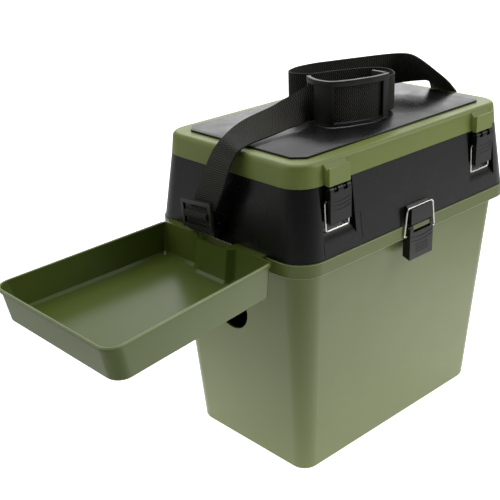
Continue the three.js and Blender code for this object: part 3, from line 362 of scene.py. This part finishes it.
GREEN = moulded("olive plastic", light=(0.222, 0.276, 0.064), dark=(0.208, 0.26, 0.058),
                roughness=0.4, rubbing=0.04)
TRAY_GREEN = moulded("olive tray plastic", light=(0.114, 0.158, 0.027), dark=(0.104, 0.147, 0.023),
                     roughness=0.25, rubbing=0.02, gloss=0.58, grain=0.0)
# Painted highlight: the tray's rim bead is a lighter, glossier green so its edge reads as a light line
RIM_HIGHLIGHT_GREEN = moulded("rubbed tray edge", light=(0.24, 0.32, 0.1), dark=(0.22, 0.295, 0.09),
                    roughness=0.3, rubbing=0.02, gloss=0.8, grain=0.0)
# Painted highlight: the band's top and foot beads are a lighter green so the band's edges read as light lines
BAND_HIGHLIGHT_GREEN = moulded("rubbed band edge", light=(0.2, 0.255, 0.075), dark=(0.185, 0.235, 0.068),
                     roughness=0.3, rubbing=0.02, gloss=0.8, grain=0.0)
BIN_GREEN = moulded("olive bin plastic", light=(0.136, 0.167, 0.036), dark=(0.127, 0.157, 0.032),
                    roughness=0.36, rubbing=0.04, gloss=0.56)
BLACK = moulded("black plastic", light=(0.006, 0.006, 0.0055), dark=(0.0045, 0.0045, 0.004),
                roughness=0.3, rubbing=0.05, gloss=0.38)
BUCKLE = moulded("buckle plastic", light=(0.03, 0.03, 0.027), dark=(0.024, 0.024, 0.021),
                 roughness=0.36, rubbing=0.05)
COVER = moulded("cover plastic", light=(0.016, 0.016, 0.014), dark=(0.012, 0.012, 0.011),
                roughness=0.42, rubbing=0.05, gloss=0.36)
# Painted shade: a darker, duller copy of the black plastic, so the brackets and their screws look sunk in
# shade; the mould lines use it too
DARKENED_BLACK = moulded("bracket plastic", light=(0.002, 0.002, 0.002), dark=(0.0015, 0.0015, 0.0015),
                  roughness=0.5, rubbing=0.05, gloss=0.12)
PAD = pad_skin()
WEBBING = webbing_cloth()
WIRE = bright_wire()


def give_material(piece, material):
    piece.data.materials.clear()
    piece.data.materials.append(material)


def dress(piece, material, slot, body, *nodes):
    give_material(piece, material)
    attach(piece, body)
    if nodes:
        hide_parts(*nodes)


def apply_modifiers(piece):
    only(piece)
    for name in [modifier.name for modifier in piece.modifiers]:
        bpy.ops.object.modifier_apply(modifier=name)


def smooth_below(degrees):
    bpy.ops.object.shade_smooth_by_angle(angle=math.radians(degrees))


def add_bevel(piece, width, segments, angle):
    bevel = piece.modifiers.new("edges", "BEVEL")
    bevel.limit_method = "ANGLE"
    bevel.angle_limit = math.radians(angle)
    bevel.width = width * MM
    bevel.segments = segments
    return bevel


def add_thickness(piece, thickness, offset=0, even=False):
    solidify = piece.modifiers.new("thickness", "SOLIDIFY")
    solidify.thickness = thickness * MM
    solidify.offset = offset
    solidify.use_even_offset = even


# The foot of each latch bay in the black wall slopes down to the outside: millimetres, metres
BAY_SLOPE = 14
NEAR = 0.00002


def slope_bay_feet(mesh):
    for vertex in mesh.vertices:
        if abs(vertex.co.y + BAY_FLOOR_Y * MM) < NEAR and abs(vertex.co.z - BAY_FOOT_Z * MM) < NEAR:
            vertex.co.z += BAY_SLOPE * MM


# A copy of a solid with its doubles merged and its edges softly rounded
def softened(node, name, width, segments=2, reshape=None):
    piece = bpy.data.objects.new(name, frame["nodes"][node].data.copy())
    bpy.context.scene.collection.objects.link(piece)
    if reshape:
        reshape(piece.data)
    only(piece)
    bpy.ops.object.mode_set(mode="EDIT")
    bpy.ops.mesh.select_all(action="SELECT")
    bpy.ops.mesh.remove_doubles(threshold=DOUBLE)
    bpy.ops.mesh.dissolve_limited(angle_limit=math.radians(FLAT_ANGLE))
    bpy.ops.object.mode_set(mode="OBJECT")
    bevel = add_bevel(piece, width, segments, EDGE_ANGLE)
    bevel.use_clamp_overlap = True
    bevel.miter_outer = "MITER_ARC"
    apply_modifiers(piece)
    smooth_below(SMOOTH_ANGLE)
    shading = piece.modifiers.new("even shading", "WEIGHTED_NORMAL")
    shading.keep_sharp = True
    shading.weight = 100
    apply_modifiers(piece)
    return piece


def body_of_node(node):
    return frame["nodes"][node].parent.name.split(":")[1]


def soften_and_dress(node, name, material, slot, **options):
    dress(softened(node, name, **options), material, slot, body_of_node(node), node)


def dress_solids():
    soften_and_dress("bin_shell", "fish_bin", BIN_GREEN, "green_plastic", width=0.9, segments=3)
    soften_and_dress("section_shell", "tackle_section", BLACK, "black_plastic", width=0.7,
                     reshape=slope_bay_feet)
    soften_and_dress("lid_shell", "seat_lid", GREEN, "green_plastic", width=0.8)
    soften_and_dress("side_tray", "bait_tray", TRAY_GREEN, "green_plastic", width=0.9, segments=3)
    for side in ("left", "right"):
        soften_and_dress(side + "_latch_lever", side + "_lever", BLACK, "black_plastic", width=0.45)
        soften_and_dress(side + "_strap_bracket", side + "_bracket", DARKENED_BLACK, "black_plastic", width=0.5)
    soften_and_dress("centre_latch_lever", "centre_lever", BLACK, "black_plastic", width=0.5)
    soften_and_dress("strap_slider", "strap_buckle", BUCKLE, "buckle_plastic", width=1.2, segments=3)
    # pins, bails and screws keep the solids' own meshes
    for name, node in frame["nodes"].items():
        if name.endswith(("_pin", "_pin_left", "_pin_right", "_screw_front", "_screw_rear", "_bail")):
            # the screws take the darkened black as painted shade, so they do not shine
            give_material(node, DARKENED_BLACK if "screw" in name else WIRE)


dress_solids()


# A grid of faces laid on the places, row by row, in metres
def lay_grid(name, columns, places):
    rows = len(places) // (columns + 1)
    bpy.ops.mesh.primitive_grid_add(x_subdivisions=columns, y_subdivisions=rows - 1, size=1)
    piece = bpy.context.active_object
    piece.name = name
    for vertex, place in zip(piece.data.vertices, places):
        vertex.co = place
    return piece


# Smooth points through the rows of a table, several steps between each two
def smooth_rows(rows, steps):
    out = []
    last = len(rows) - 1
    for i in range(last):
        spans = list(zip(rows[max(i - 1, 0)], rows[i], rows[i + 1], rows[min(i + 2, last)]))
        for k in range(steps):
            t = k / steps
            out.append([0.5 * ((2 * b) + (c - a) * t + (2 * a - 5 * b + 4 * c - d) * t * t
                               + (3 * b - a - 3 * c + d) * t ** 3) for a, b, c, d in spans])
    out.append(list(rows[-1]))
    return out


# The strap's route, the same as its solids take. A row of the route holds the places of the
# webbing's two edges, in shares of the half width and half depth of the section's top and in
# strap widths above the lid.
LEFT_CLIMB = [
    [[-1.136, -0.085, -1.49], [-1.125, 0.271, -1.55]], [[-1.135, -0.156, -1.128], [-1.121, 0.21, -1.158]],
    [[-1.118, -0.189, -0.823], [-1.102, 0.176, -0.848]], [[-1.096, -0.206, -0.512], [-1.076, 0.158, -0.575]],
    [[-1.084, -0.21, -0.388], [-1.059, 0.154, -0.435]],
]
TOP_START = [
    [[-1.073, -0.214, -0.248], [-1.037, 0.147, -0.263]], [[-1.048, -0.221, -0.085], [-1.001, 0.136, -0.033]],
    [[-1.033, -0.262, 0.11], [-0.971, 0.09, 0.188]], [[-0.935, -0.207, 0.135], [-0.868, 0.135, 0.33]],
    [[-0.836, -0.174, 0.135], [-0.761, 0.149, 0.463]], [[-0.731, -0.157, 0.135], [-0.651, 0.15, 0.545]],
    [[-0.62, -0.134, 0.142], [-0.529, 0.152, 0.615]], [[-0.518, -0.118, 0.16], [-0.42, 0.129, 0.755]],
    [[-0.451, -0.141, 0.185], [-0.358, 0.027, 0.97]],
]
# On the lid the webbing stands on its edge, so a row is one place
TOP_LOOP = [
    [-0.335, -0.1], [-0.303, -0.18], [-0.298, -0.305], [-0.272, -0.36], [-0.205, -0.424],
    [-0.13, -0.466], [-0.055, -0.507], [0.015, -0.522], [0.07, -0.515], [0.13, -0.47], [0.2, -0.455],
    [0.258, -0.4], [0.31, -0.28], [0.318, -0.17], [0.28, -0.07], [0.196, 0.03], [0.05, 0.146],
    [-0.07, 0.215], [-0.12, 0.27], [-0.152, 0.36], [-0.158, 0.45], [-0.13, 0.52], [-0.07, 0.565],
    [0.02, 0.59], [0.16, 0.56], [0.28, 0.49], [0.4, 0.42], [0.53, 0.34], [0.65, 0.26],
]
TOP_END = [
    [[0.745, 0.21, 0.22], [0.735, 0.175, 1.19]], [[0.82, 0.1, 0.27], [0.755, 0.07, 1.2]],
    [[0.86, 0.0, 0.31], [0.75, -0.03, 1.18]], [[0.885, -0.05, 0.32], [0.745, -0.15, 1.08]],
    [[0.915, -0.06, 0.27], [0.78, -0.29, 0.8]], [[0.955, -0.03, 0.14], [0.88, -0.35, 0.42]],
    [[0.985, -0.005, 0.03], [0.95, -0.365, 0.13]], [[1.008, 0.01, -0.09], [0.99, -0.36, -0.03]],
    [[1.022, 0.015, -0.24], [1.012, -0.35, -0.24]], [[1.027, 0.015, -0.355], [1.022, -0.35, -0.355]],
]
RIGHT_CLIMB = [
    [[1.028, 0.016, -0.37], [1.024, -0.348, -0.37]], [[1.042, 0.03, -0.7], [1.04, -0.335, -0.7]],
    [[1.062, 0.05, -1.1], [1.062, -0.315, -1.1]], [[1.086, 0.07, -1.55], [1.086, -0.295, -1.55]],
]
WEBBING_COLUMNS = 8

# Round the bracket's bar, in millimetres: the turn of the webbing's middle, and how far out it leaves
WRAP_RADIUS = 3.3
WRAP_STEPS = 6
LEAVING_GAP = 0.3

# Through the slider, out from its middle and up: behind the lower bar, then over the middle bar,
# and in behind it again
SLIDER_WAY_IN = [[-3.9, -9.6], [-3.6, -5.8]]
SLIDER_WAY_OUT = [[-3.6, 5.8]]
SLIDER_BAR_RADIUS = 3.2
SLIDER_BAR_STEPS = 4


def on_lid(share):
    x, y, z = share
    return [x * SECTION_TOP_HALF_X, y * SECTION_TOP_HALF_Y, LID_TOP_Z + z * STRAP_WIDTH]


def free_rows(shares):
    return [on_lid(a) + on_lid(b) for a, b in shares]


def upright_rows(shares):
    rows = []
    for x, y in shares:
        x, y = x * SECTION_TOP_HALF_X, y * SECTION_TOP_HALF_Y
        rows.append([x, y, STRAP_LOW_EDGE_Z, x, y, STRAP_LOW_EDGE_Z + STRAP_WIDTH])
    return rows


def wrap_rows(sign, y, leaving_z):
    rows = []
    for k in range(WRAP_STEPS + 1):
        angle = math.pi + math.pi * k / WRAP_STEPS
        rows.append([BRACKET_BAR_X + WRAP_RADIUS * math.cos(angle),
                     BRACKET_BAR_Z + WRAP_RADIUS * math.sin(angle)])
    rows.append([BRACKET_BAR_X + WRAP_RADIUS + LEAVING_GAP, leaving_z])
    return [[sign * x, y - STRAP_WIDTH / 2, z, sign * x, y + STRAP_WIDTH / 2, z] for x, z in rows]


def slider_rows():
    place = (Matrix.Translation(Vector(SLIDER_MIDDLE)) @ Matrix.Rotation(math.radians(-SLIDER_TWIST), 4, "Z")
             @ Matrix.Rotation(math.radians(-SLIDER_ROLL), 4, "X"))
    over_bar = []
    for k in range(SLIDER_BAR_STEPS + 1):
        angle = (k / SLIDER_BAR_STEPS - 0.5) * math.pi / 2
        over_bar.append([SLIDER_BAR_RADIUS * math.cos(angle), SLIDER_BAR_RADIUS * math.sin(angle)])
    return [[*(place @ Vector((-out, -STRAP_WIDTH / 2, up))), *(place @ Vector((-out, STRAP_WIDTH / 2, up)))]
            for out, up in SLIDER_WAY_IN + over_bar + SLIDER_WAY_OUT]


# A length of webbing through rows of its two edges, with a map in strap widths
def lay_webbing(name, rows, body, node, steps=4):
    edges = [(Vector(row[:3]) * MM, Vector(row[3:]) * MM) for row in smooth_rows(rows, steps)]
    places, spots = [], []
    run = 0.0
    for i, (a, b) in enumerate(edges):
        if i:
            run += ((a + b) / 2 - (edges[i - 1][0] + edges[i - 1][1]) / 2).length
        for k in range(WEBBING_COLUMNS + 1):
            across = k / WEBBING_COLUMNS
            places.append(a.lerp(b, across))
            spots.append((across, run / (STRAP_WIDTH * MM)))
    piece = lay_grid(name, WEBBING_COLUMNS, places)
    cloth_map = piece.data.uv_layers.active.data
    for loop in piece.data.loops:
        cloth_map[loop.index].uv = spots[loop.vertex_index]
    add_thickness(piece, STRAP_THICKNESS, even=True)
    apply_modifiers(piece)
    smooth_below(degrees=40)
    dress(piece, WEBBING, "webbing", body, node)


def make_strap():
    left = wrap_rows(-1, STRAP_LEFT_Y, BRACKET_BAR_Z + BRACKET_BAR_RADIUS)
    left += slider_rows() + free_rows(LEFT_CLIMB)
    top = free_rows([LEFT_CLIMB[-1]] + TOP_START) + upright_rows(TOP_LOOP) + free_rows(TOP_END)
    right_low = wrap_rows(1, STRAP_RIGHT_Y, BRACKET_BAR_Z + WRAP_RADIUS * 2)
    right = [row[3:] + row[:3] for row in right_low] + free_rows(RIGHT_CLIMB[::-1])
    lay_webbing("webbing_left", left, "section", "strap_left_run")
    lay_webbing("webbing_top", top, "lid", "strap_top_run", steps=5)
    lay_webbing("webbing_right", right, "section", "strap_right_run")


make_strap()

# Beads on the green edges, in a lighter green that is a painted highlight along the edges: sizes in
# millimetres, and how far a bead sinks in, drops or rises from its edge in shares of its radius
BEAD_SIDES = 8
BEAD_SINK = 0.6
RIM_BEAD = 1.1
RIM_BEAD_DROP = 0.45
RIM_BEAD_START = -6
RIM_BEAD_MARGIN = 0.4
BAND_BEAD = 0.6
BAND_TOP_DROP = 0.75
BAND_FOOT_RISE = 0.6


# A path's corner, rounded
def rounded_corner(before, corner, after, radius, steps=8):
    back = (Vector(before) - Vector(corner)).normalized()
    ahead = (Vector(after) - Vector(corner)).normalized()
    half = back.angle(ahead) / 2
    middle = Vector(corner) + (back + ahead).normalized() * radius / math.sin(half)
    first = Vector(corner) + back * radius / math.tan(half) - middle
    last = Vector(corner) + ahead * radius / math.tan(half) - middle
    return [middle + (first * (1 - i / steps) + last * (i / steps)).normalized() * radius
            for i in range(steps + 1)]


# A thin bead along a path: place turns x, y, z of the path into the object's frame
def lay_bead(name, path, radius, closed, place, material, body):
    count = len(path)
    places = []
    for row in range(count + 1 if closed else count):
        ahead, back = (row + 1) % count, (row - 1) % count
        if not closed:
            ahead, back = min(row + 1, count - 1), max(row - 1, 0)
        spot = path[row % count]
        along = (path[ahead] - path[back]).normalized()
        for column in range(BEAD_SIDES + 1):
            angle = 2 * math.pi * column / BEAD_SIDES
            aside = radius * (math.cos(angle) - BEAD_SINK)
            places.append(place(spot.x - along.y * aside, spot.y + along.x * aside,
                                radius * math.sin(angle)) * MM)
    bead = lay_grid(name, BEAD_SIDES, places)
    only(bead)
    bpy.ops.object.mode_set(mode="EDIT")
    bpy.ops.mesh.select_all(action="SELECT")
    bpy.ops.mesh.remove_doubles(threshold=DOUBLE / 2)
    if not closed:
        bpy.ops.mesh.fill_holes(sides=0)
    bpy.ops.mesh.normals_make_consistent(inside=False)
    bpy.ops.object.mode_set(mode="OBJECT")
    smooth_below(degrees=50)
    dress(bead, material, "green_plastic", body)


def make_tray_bead():
    half = RIM_INNER_HALF + RIM_BEAD_MARGIN
    start, end = [RIM_BEAD_START, -half], [RIM_BEAD_START, half]
    front, rear = [-RIM_LENGTH, -RIM_OUTER_HALF], [-RIM_LENGTH, RIM_OUTER_HALF]
    path = [Vector(start)] + rounded_corner(start, front, rear, RIM_RADIUS)
    path += rounded_corner(front, rear, end, RIM_RADIUS) + [Vector(end)]
    droop = math.radians(RIM_DROOP)

    def in_tray(x, y, z):
        z -= RIM_BEAD * RIM_BEAD_DROP
        return Vector((RIM_X + x * math.cos(droop) - z * math.sin(droop), y,
                       RIM_Z + x * math.sin(droop) + z * math.cos(droop)))

    lay_bead("tray_rim_bead", path, RIM_BEAD, False, in_tray, RIM_HIGHLIGHT_GREEN, "tray")


def make_band_bead(name, height):
    corners = [[BAND_HALF_X * i, BAND_HALF_Y * j] for i, j in ((-1, -1), (-1, 1), (1, 1), (1, -1))]
    path = []
    for i in range(4):
        path += rounded_corner(corners[i - 1], corners[i], corners[(i + 1) % 4], BAND_RADIUS)
    lay_bead(name, path, BAND_BEAD, True, lambda x, y, z: Vector((x, y, height + z)), BAND_HIGHLIGHT_GREEN, "bin")


make_tray_bead()
make_band_bead("band_top_bead", BAND_TOP_Z - BAND_BEAD * BAND_TOP_DROP)
make_band_bead("band_foot_bead", BAND_FOOT_Z + BAND_BEAD * BAND_FOOT_RISE)

# Faint lines that the mould's parting leaves on the black wall: x, low z, high z
MOULD_LINES = {"mould_line_left": (-152.5, 277.5, 293.5), "mould_line_middle": (-93.5, 281.5, 311.5)}
MOULD_LINE_WIDTH = 0.7
MOULD_LINE_THICKNESS = 0.2
MOULD_LINE_STEPS = 4


def make_mould_line(name, x, low, high):
    places = []
    for step in range(MOULD_LINE_STEPS + 1):
        z = low + (high - low) * step / MOULD_LINE_STEPS
        share = (z - SECTION_FOOT_Z) / SECTION_RISE
        y = -(SECTION_FOOT_HALF_Y - SECTION_DRAFT * share)
        places += [Vector((x + side * MOULD_LINE_WIDTH, y, z)) * MM for side in (-0.5, 0.5)]
    line = lay_grid(name, 1, places)
    add_thickness(line, MOULD_LINE_THICKNESS)
    apply_modifiers(line)
    dress(line, DARKENED_BLACK, "black_plastic", "section")


for line_name, reach in MOULD_LINES.items():
    make_mould_line(line_name, *reach)


# Seat pad: a thin sheet with cut corners and a softened edge
def make_pad():
    bpy.ops.mesh.primitive_circle_add(vertices=8, radius=PAD_HALF_Y * MM, fill_type="NGON")
    pad = bpy.context.active_object
    pad.name = "pad_sheet"
    x, y, cut = PAD_HALF_X, PAD_HALF_Y, PAD_CORNER
    corners = [(x - cut, y), (cut - x, y), (-x, y - cut), (-x, cut - y), (cut - x, -y), (x - cut, -y),
               (x, cut - y), (x, y - cut)]
    for vertex, (across, along) in zip(pad.data.vertices, corners):
        vertex.co = Vector((across, along, PAD_FOOT_Z)) * MM
    add_thickness(pad, PAD_TOP_Z - PAD_FOOT_Z, offset=1)
    add_bevel(pad, width=0.5, segments=2, angle=60)
    apply_modifiers(pad)
    smooth_below(degrees=50)
    dress(pad, PAD, "pad_sheet", "lid", "seat_pad")


make_pad()

# Shoulder pad cover, a curled moulding with proud rims: its path in shares of the half width and
# half depth of the section's top, sizes in millimetres
COVER_PATH = [
    [-0.274, 0.009], [-0.304, -0.06], [-0.328, -0.183], [-0.322, -0.32], [-0.29, -0.385],
    [-0.214, -0.453], [-0.135, -0.497], [-0.057, -0.538], [0.02, -0.552], [0.067, -0.553], [0.085, -0.535],
]
COVER_STEPS = 6
COVER_WALL = 3
COVER_WALL_EDGE = 0.7
COVER_FOOT_RIM = 2
COVER_TOP_RIM = 6.4
COVER_TOP_LAP = 0.4
COVER_TOP_STAND = 0.2
COVER_FOOT_STAND = 0.1
TOP_RIM_THICKNESS = 4.6
FOOT_RIM_THICKNESS = 4.0
RIM_EDGE = 1.3
RIM_EDGE_SHARE = 0.3
# The upper rim turns in round the webbing at its end
TURNED_IN = [[15.6, -54.5], [15.5, -46], [15.2, -37.5]]
# Steps of the path that the strap's entry slot and the window take up
SLOT_STEPS = range(4, 11)
WINDOW_STEPS = range(23, 49)


def finish_moulding(piece, thickness, rounding):
    add_thickness(piece, thickness, even=True)
    add_bevel(piece, rounding, segments=3, angle=40)
    apply_modifiers(piece)
    smooth_below(degrees=40)
    dress(piece, COVER, "buckle_plastic", "lid", "shoulder_pad_cover")


def stand_on_path(name, path, heights):
    places = [Vector((x, y, COVER_FOOT_Z + height)) * MM for x, y in path for height in heights]
    return lay_grid(name, len(heights) - 1, places)


# Leaves out the faces between the rims along the slot and the window
def cut_openings(cover, columns):
    for group in (cover.data.vertices, cover.data.edges, cover.data.polygons):
        group.foreach_set("select", [False] * len(group))
    for polygon in cover.data.polygons:
        step, column = divmod(min(polygon.vertices), columns)
        polygon.select = column == 1 and (step in SLOT_STEPS or step in WINDOW_STEPS)
    only(cover)
    bpy.ops.object.mode_set(mode="EDIT")
    bpy.ops.mesh.select_mode(type="FACE")
    bpy.ops.mesh.delete(type="FACE")
    bpy.ops.object.mode_set(mode="OBJECT")


def make_cover():
    path = smooth_rows([[x * SECTION_TOP_HALF_X, y * SECTION_TOP_HALF_Y] for x, y in COVER_PATH],
                       COVER_STEPS)
    heights = [0, COVER_FOOT_RIM, COVER_HEIGHT - COVER_TOP_RIM, COVER_HEIGHT]
    cover = stand_on_path("pad_cover", path, heights)
    cut_openings(cover, len(heights))
    finish_moulding(cover, COVER_WALL, COVER_WALL_EDGE)
    top_rim = [COVER_HEIGHT - COVER_TOP_RIM + COVER_TOP_LAP, COVER_HEIGHT + COVER_TOP_STAND]
    foot_rim = [-COVER_FOOT_STAND, COVER_FOOT_RIM]
    for name, reach, thickness, way in (("cover_top_rim", top_rim, TOP_RIM_THICKNESS, path + TURNED_IN),
                                        ("cover_foot_rim", foot_rim, FOOT_RIM_THICKNESS, path)):
        rounding = min(RIM_EDGE, (reach[1] - reach[0]) * RIM_EDGE_SHARE)
        finish_moulding(stand_on_path(name, way, reach), thickness, rounding)


make_cover()

# Stage, in metres and watts: a pale floor that glows round the object, soft boxes, and bright
# patches of the surroundings, each with its aim and strength
FLOOR_SIZE = 12
FLOOR_PLACE = (0.12, 0, -0.0006)
FLOOR_GLOW = 1.15
FLOOR_GLOW_NEAR = 0.3
FLOOR_GLOW_FAR = 0.68
FLOOR_SEEN = 0.9
LIGHTS_AIM = (0, 0, 0.2)
PATCH_FALL = 8.0
PATCHES = [((0.74, 0.615, 0.27), 2.3), ((0.6, -0.5, 0.62), 0.8), ((-0.72, 0.5, 0.48), 1.0),
           ((-0.692, 0.692, 0.208), 0.18)]


def make_floor():
    bpy.ops.mesh.primitive_plane_add(size=FLOOR_SIZE, location=FLOOR_PLACE)
    floor = bpy.context.active_object
    floor.name = "floor"
    material, tree, shader, coordinates = start_material("pale floor")
    shader.inputs["Base Color"].default_value = (0.92, 0.92, 0.92, 1)
    shader.inputs["Roughness"].default_value = 0.6
    shader.inputs["Emission Color"].default_value = (1, 1, 1, 1)
    reach = tree.nodes.new("ShaderNodeVectorMath")
    reach.operation = "LENGTH"
    tree.links.new(coordinates.outputs["Object"], reach.inputs[0])
    near = add_range(tree, reach.outputs["Value"], FLOOR_GLOW_NEAR, FLOOR_GLOW_FAR, FLOOR_GLOW, 0.0)
    seen = tree.nodes.new("ShaderNodeLightPath")
    white = add_math(tree, "MULTIPLY", seen.outputs["Is Camera Ray"], FLOOR_SEEN)
    tree.links.new(add_math(tree, "MAXIMUM", near, white), shader.inputs["Emission Strength"])
    floor.data.materials.append(material)


def soft_box(name, place, size, power):
    light = bpy.data.lights.new(name, "AREA")
    light.shape = "RECTANGLE"
    light.size, light.size_y = size
    light.energy = power
    lamp = bpy.data.objects.new(name, light)
    bpy.context.scene.collection.objects.link(lamp)
    lamp.location = place
    lamp.rotation_euler = (Vector(LIGHTS_AIM) - Vector(place)).to_track_quat("-Z", "Y").to_euler()


def make_surroundings():
    world = bpy.data.worlds.new("studio")
    bpy.context.scene.world = world
    world.use_nodes = True
    tree = world.node_tree
    surroundings = tree.nodes["Background"]
    surroundings.inputs["Color"].default_value = (1, 1, 1, 1)
    coordinates = tree.nodes.new("ShaderNodeTexCoord")
    total = None
    for way, strength in PATCHES:
        aim = tree.nodes.new("ShaderNodeVectorMath")
        aim.operation = "DOT_PRODUCT"
        aim.inputs[1].default_value = way
        tree.links.new(coordinates.outputs["Generated"], aim.inputs[0])
        ahead = add_math(tree, "MAXIMUM", aim.outputs["Value"], 0.0)
        patch = add_math(tree, "MULTIPLY", add_math(tree, "POWER", ahead, PATCH_FALL), strength)
        total = patch if total is None else add_math(tree, "ADD", total, patch)
    tree.links.new(total, surroundings.inputs["Strength"])
    # seen straight, the surroundings are plain white
    backdrop = tree.nodes.new("ShaderNodeBackground")
    backdrop.inputs["Color"].default_value = (1, 1, 1, 1)
    seen = tree.nodes.new("ShaderNodeLightPath")
    choose = tree.nodes.new("ShaderNodeMixShader")
    tree.links.new(seen.outputs["Is Camera Ray"], choose.inputs[0])
    tree.links.new(surroundings.outputs[0], choose.inputs[1])
    tree.links.new(backdrop.outputs[0], choose.inputs[2])
    tree.links.new(choose.outputs[0], tree.nodes["World Output"].inputs["Surface"])


def make_stage():
    make_floor()
    soft_box("key", place=(1.5, -1.8, 1.5), size=(1.6, 1.6), power=19)
    soft_box("top", place=(0.2, 0.5, 2.3), size=(2.2, 2.2), power=23)
    make_surroundings()
    bpy.context.scene.view_settings.view_transform = "Standard"


make_stage()
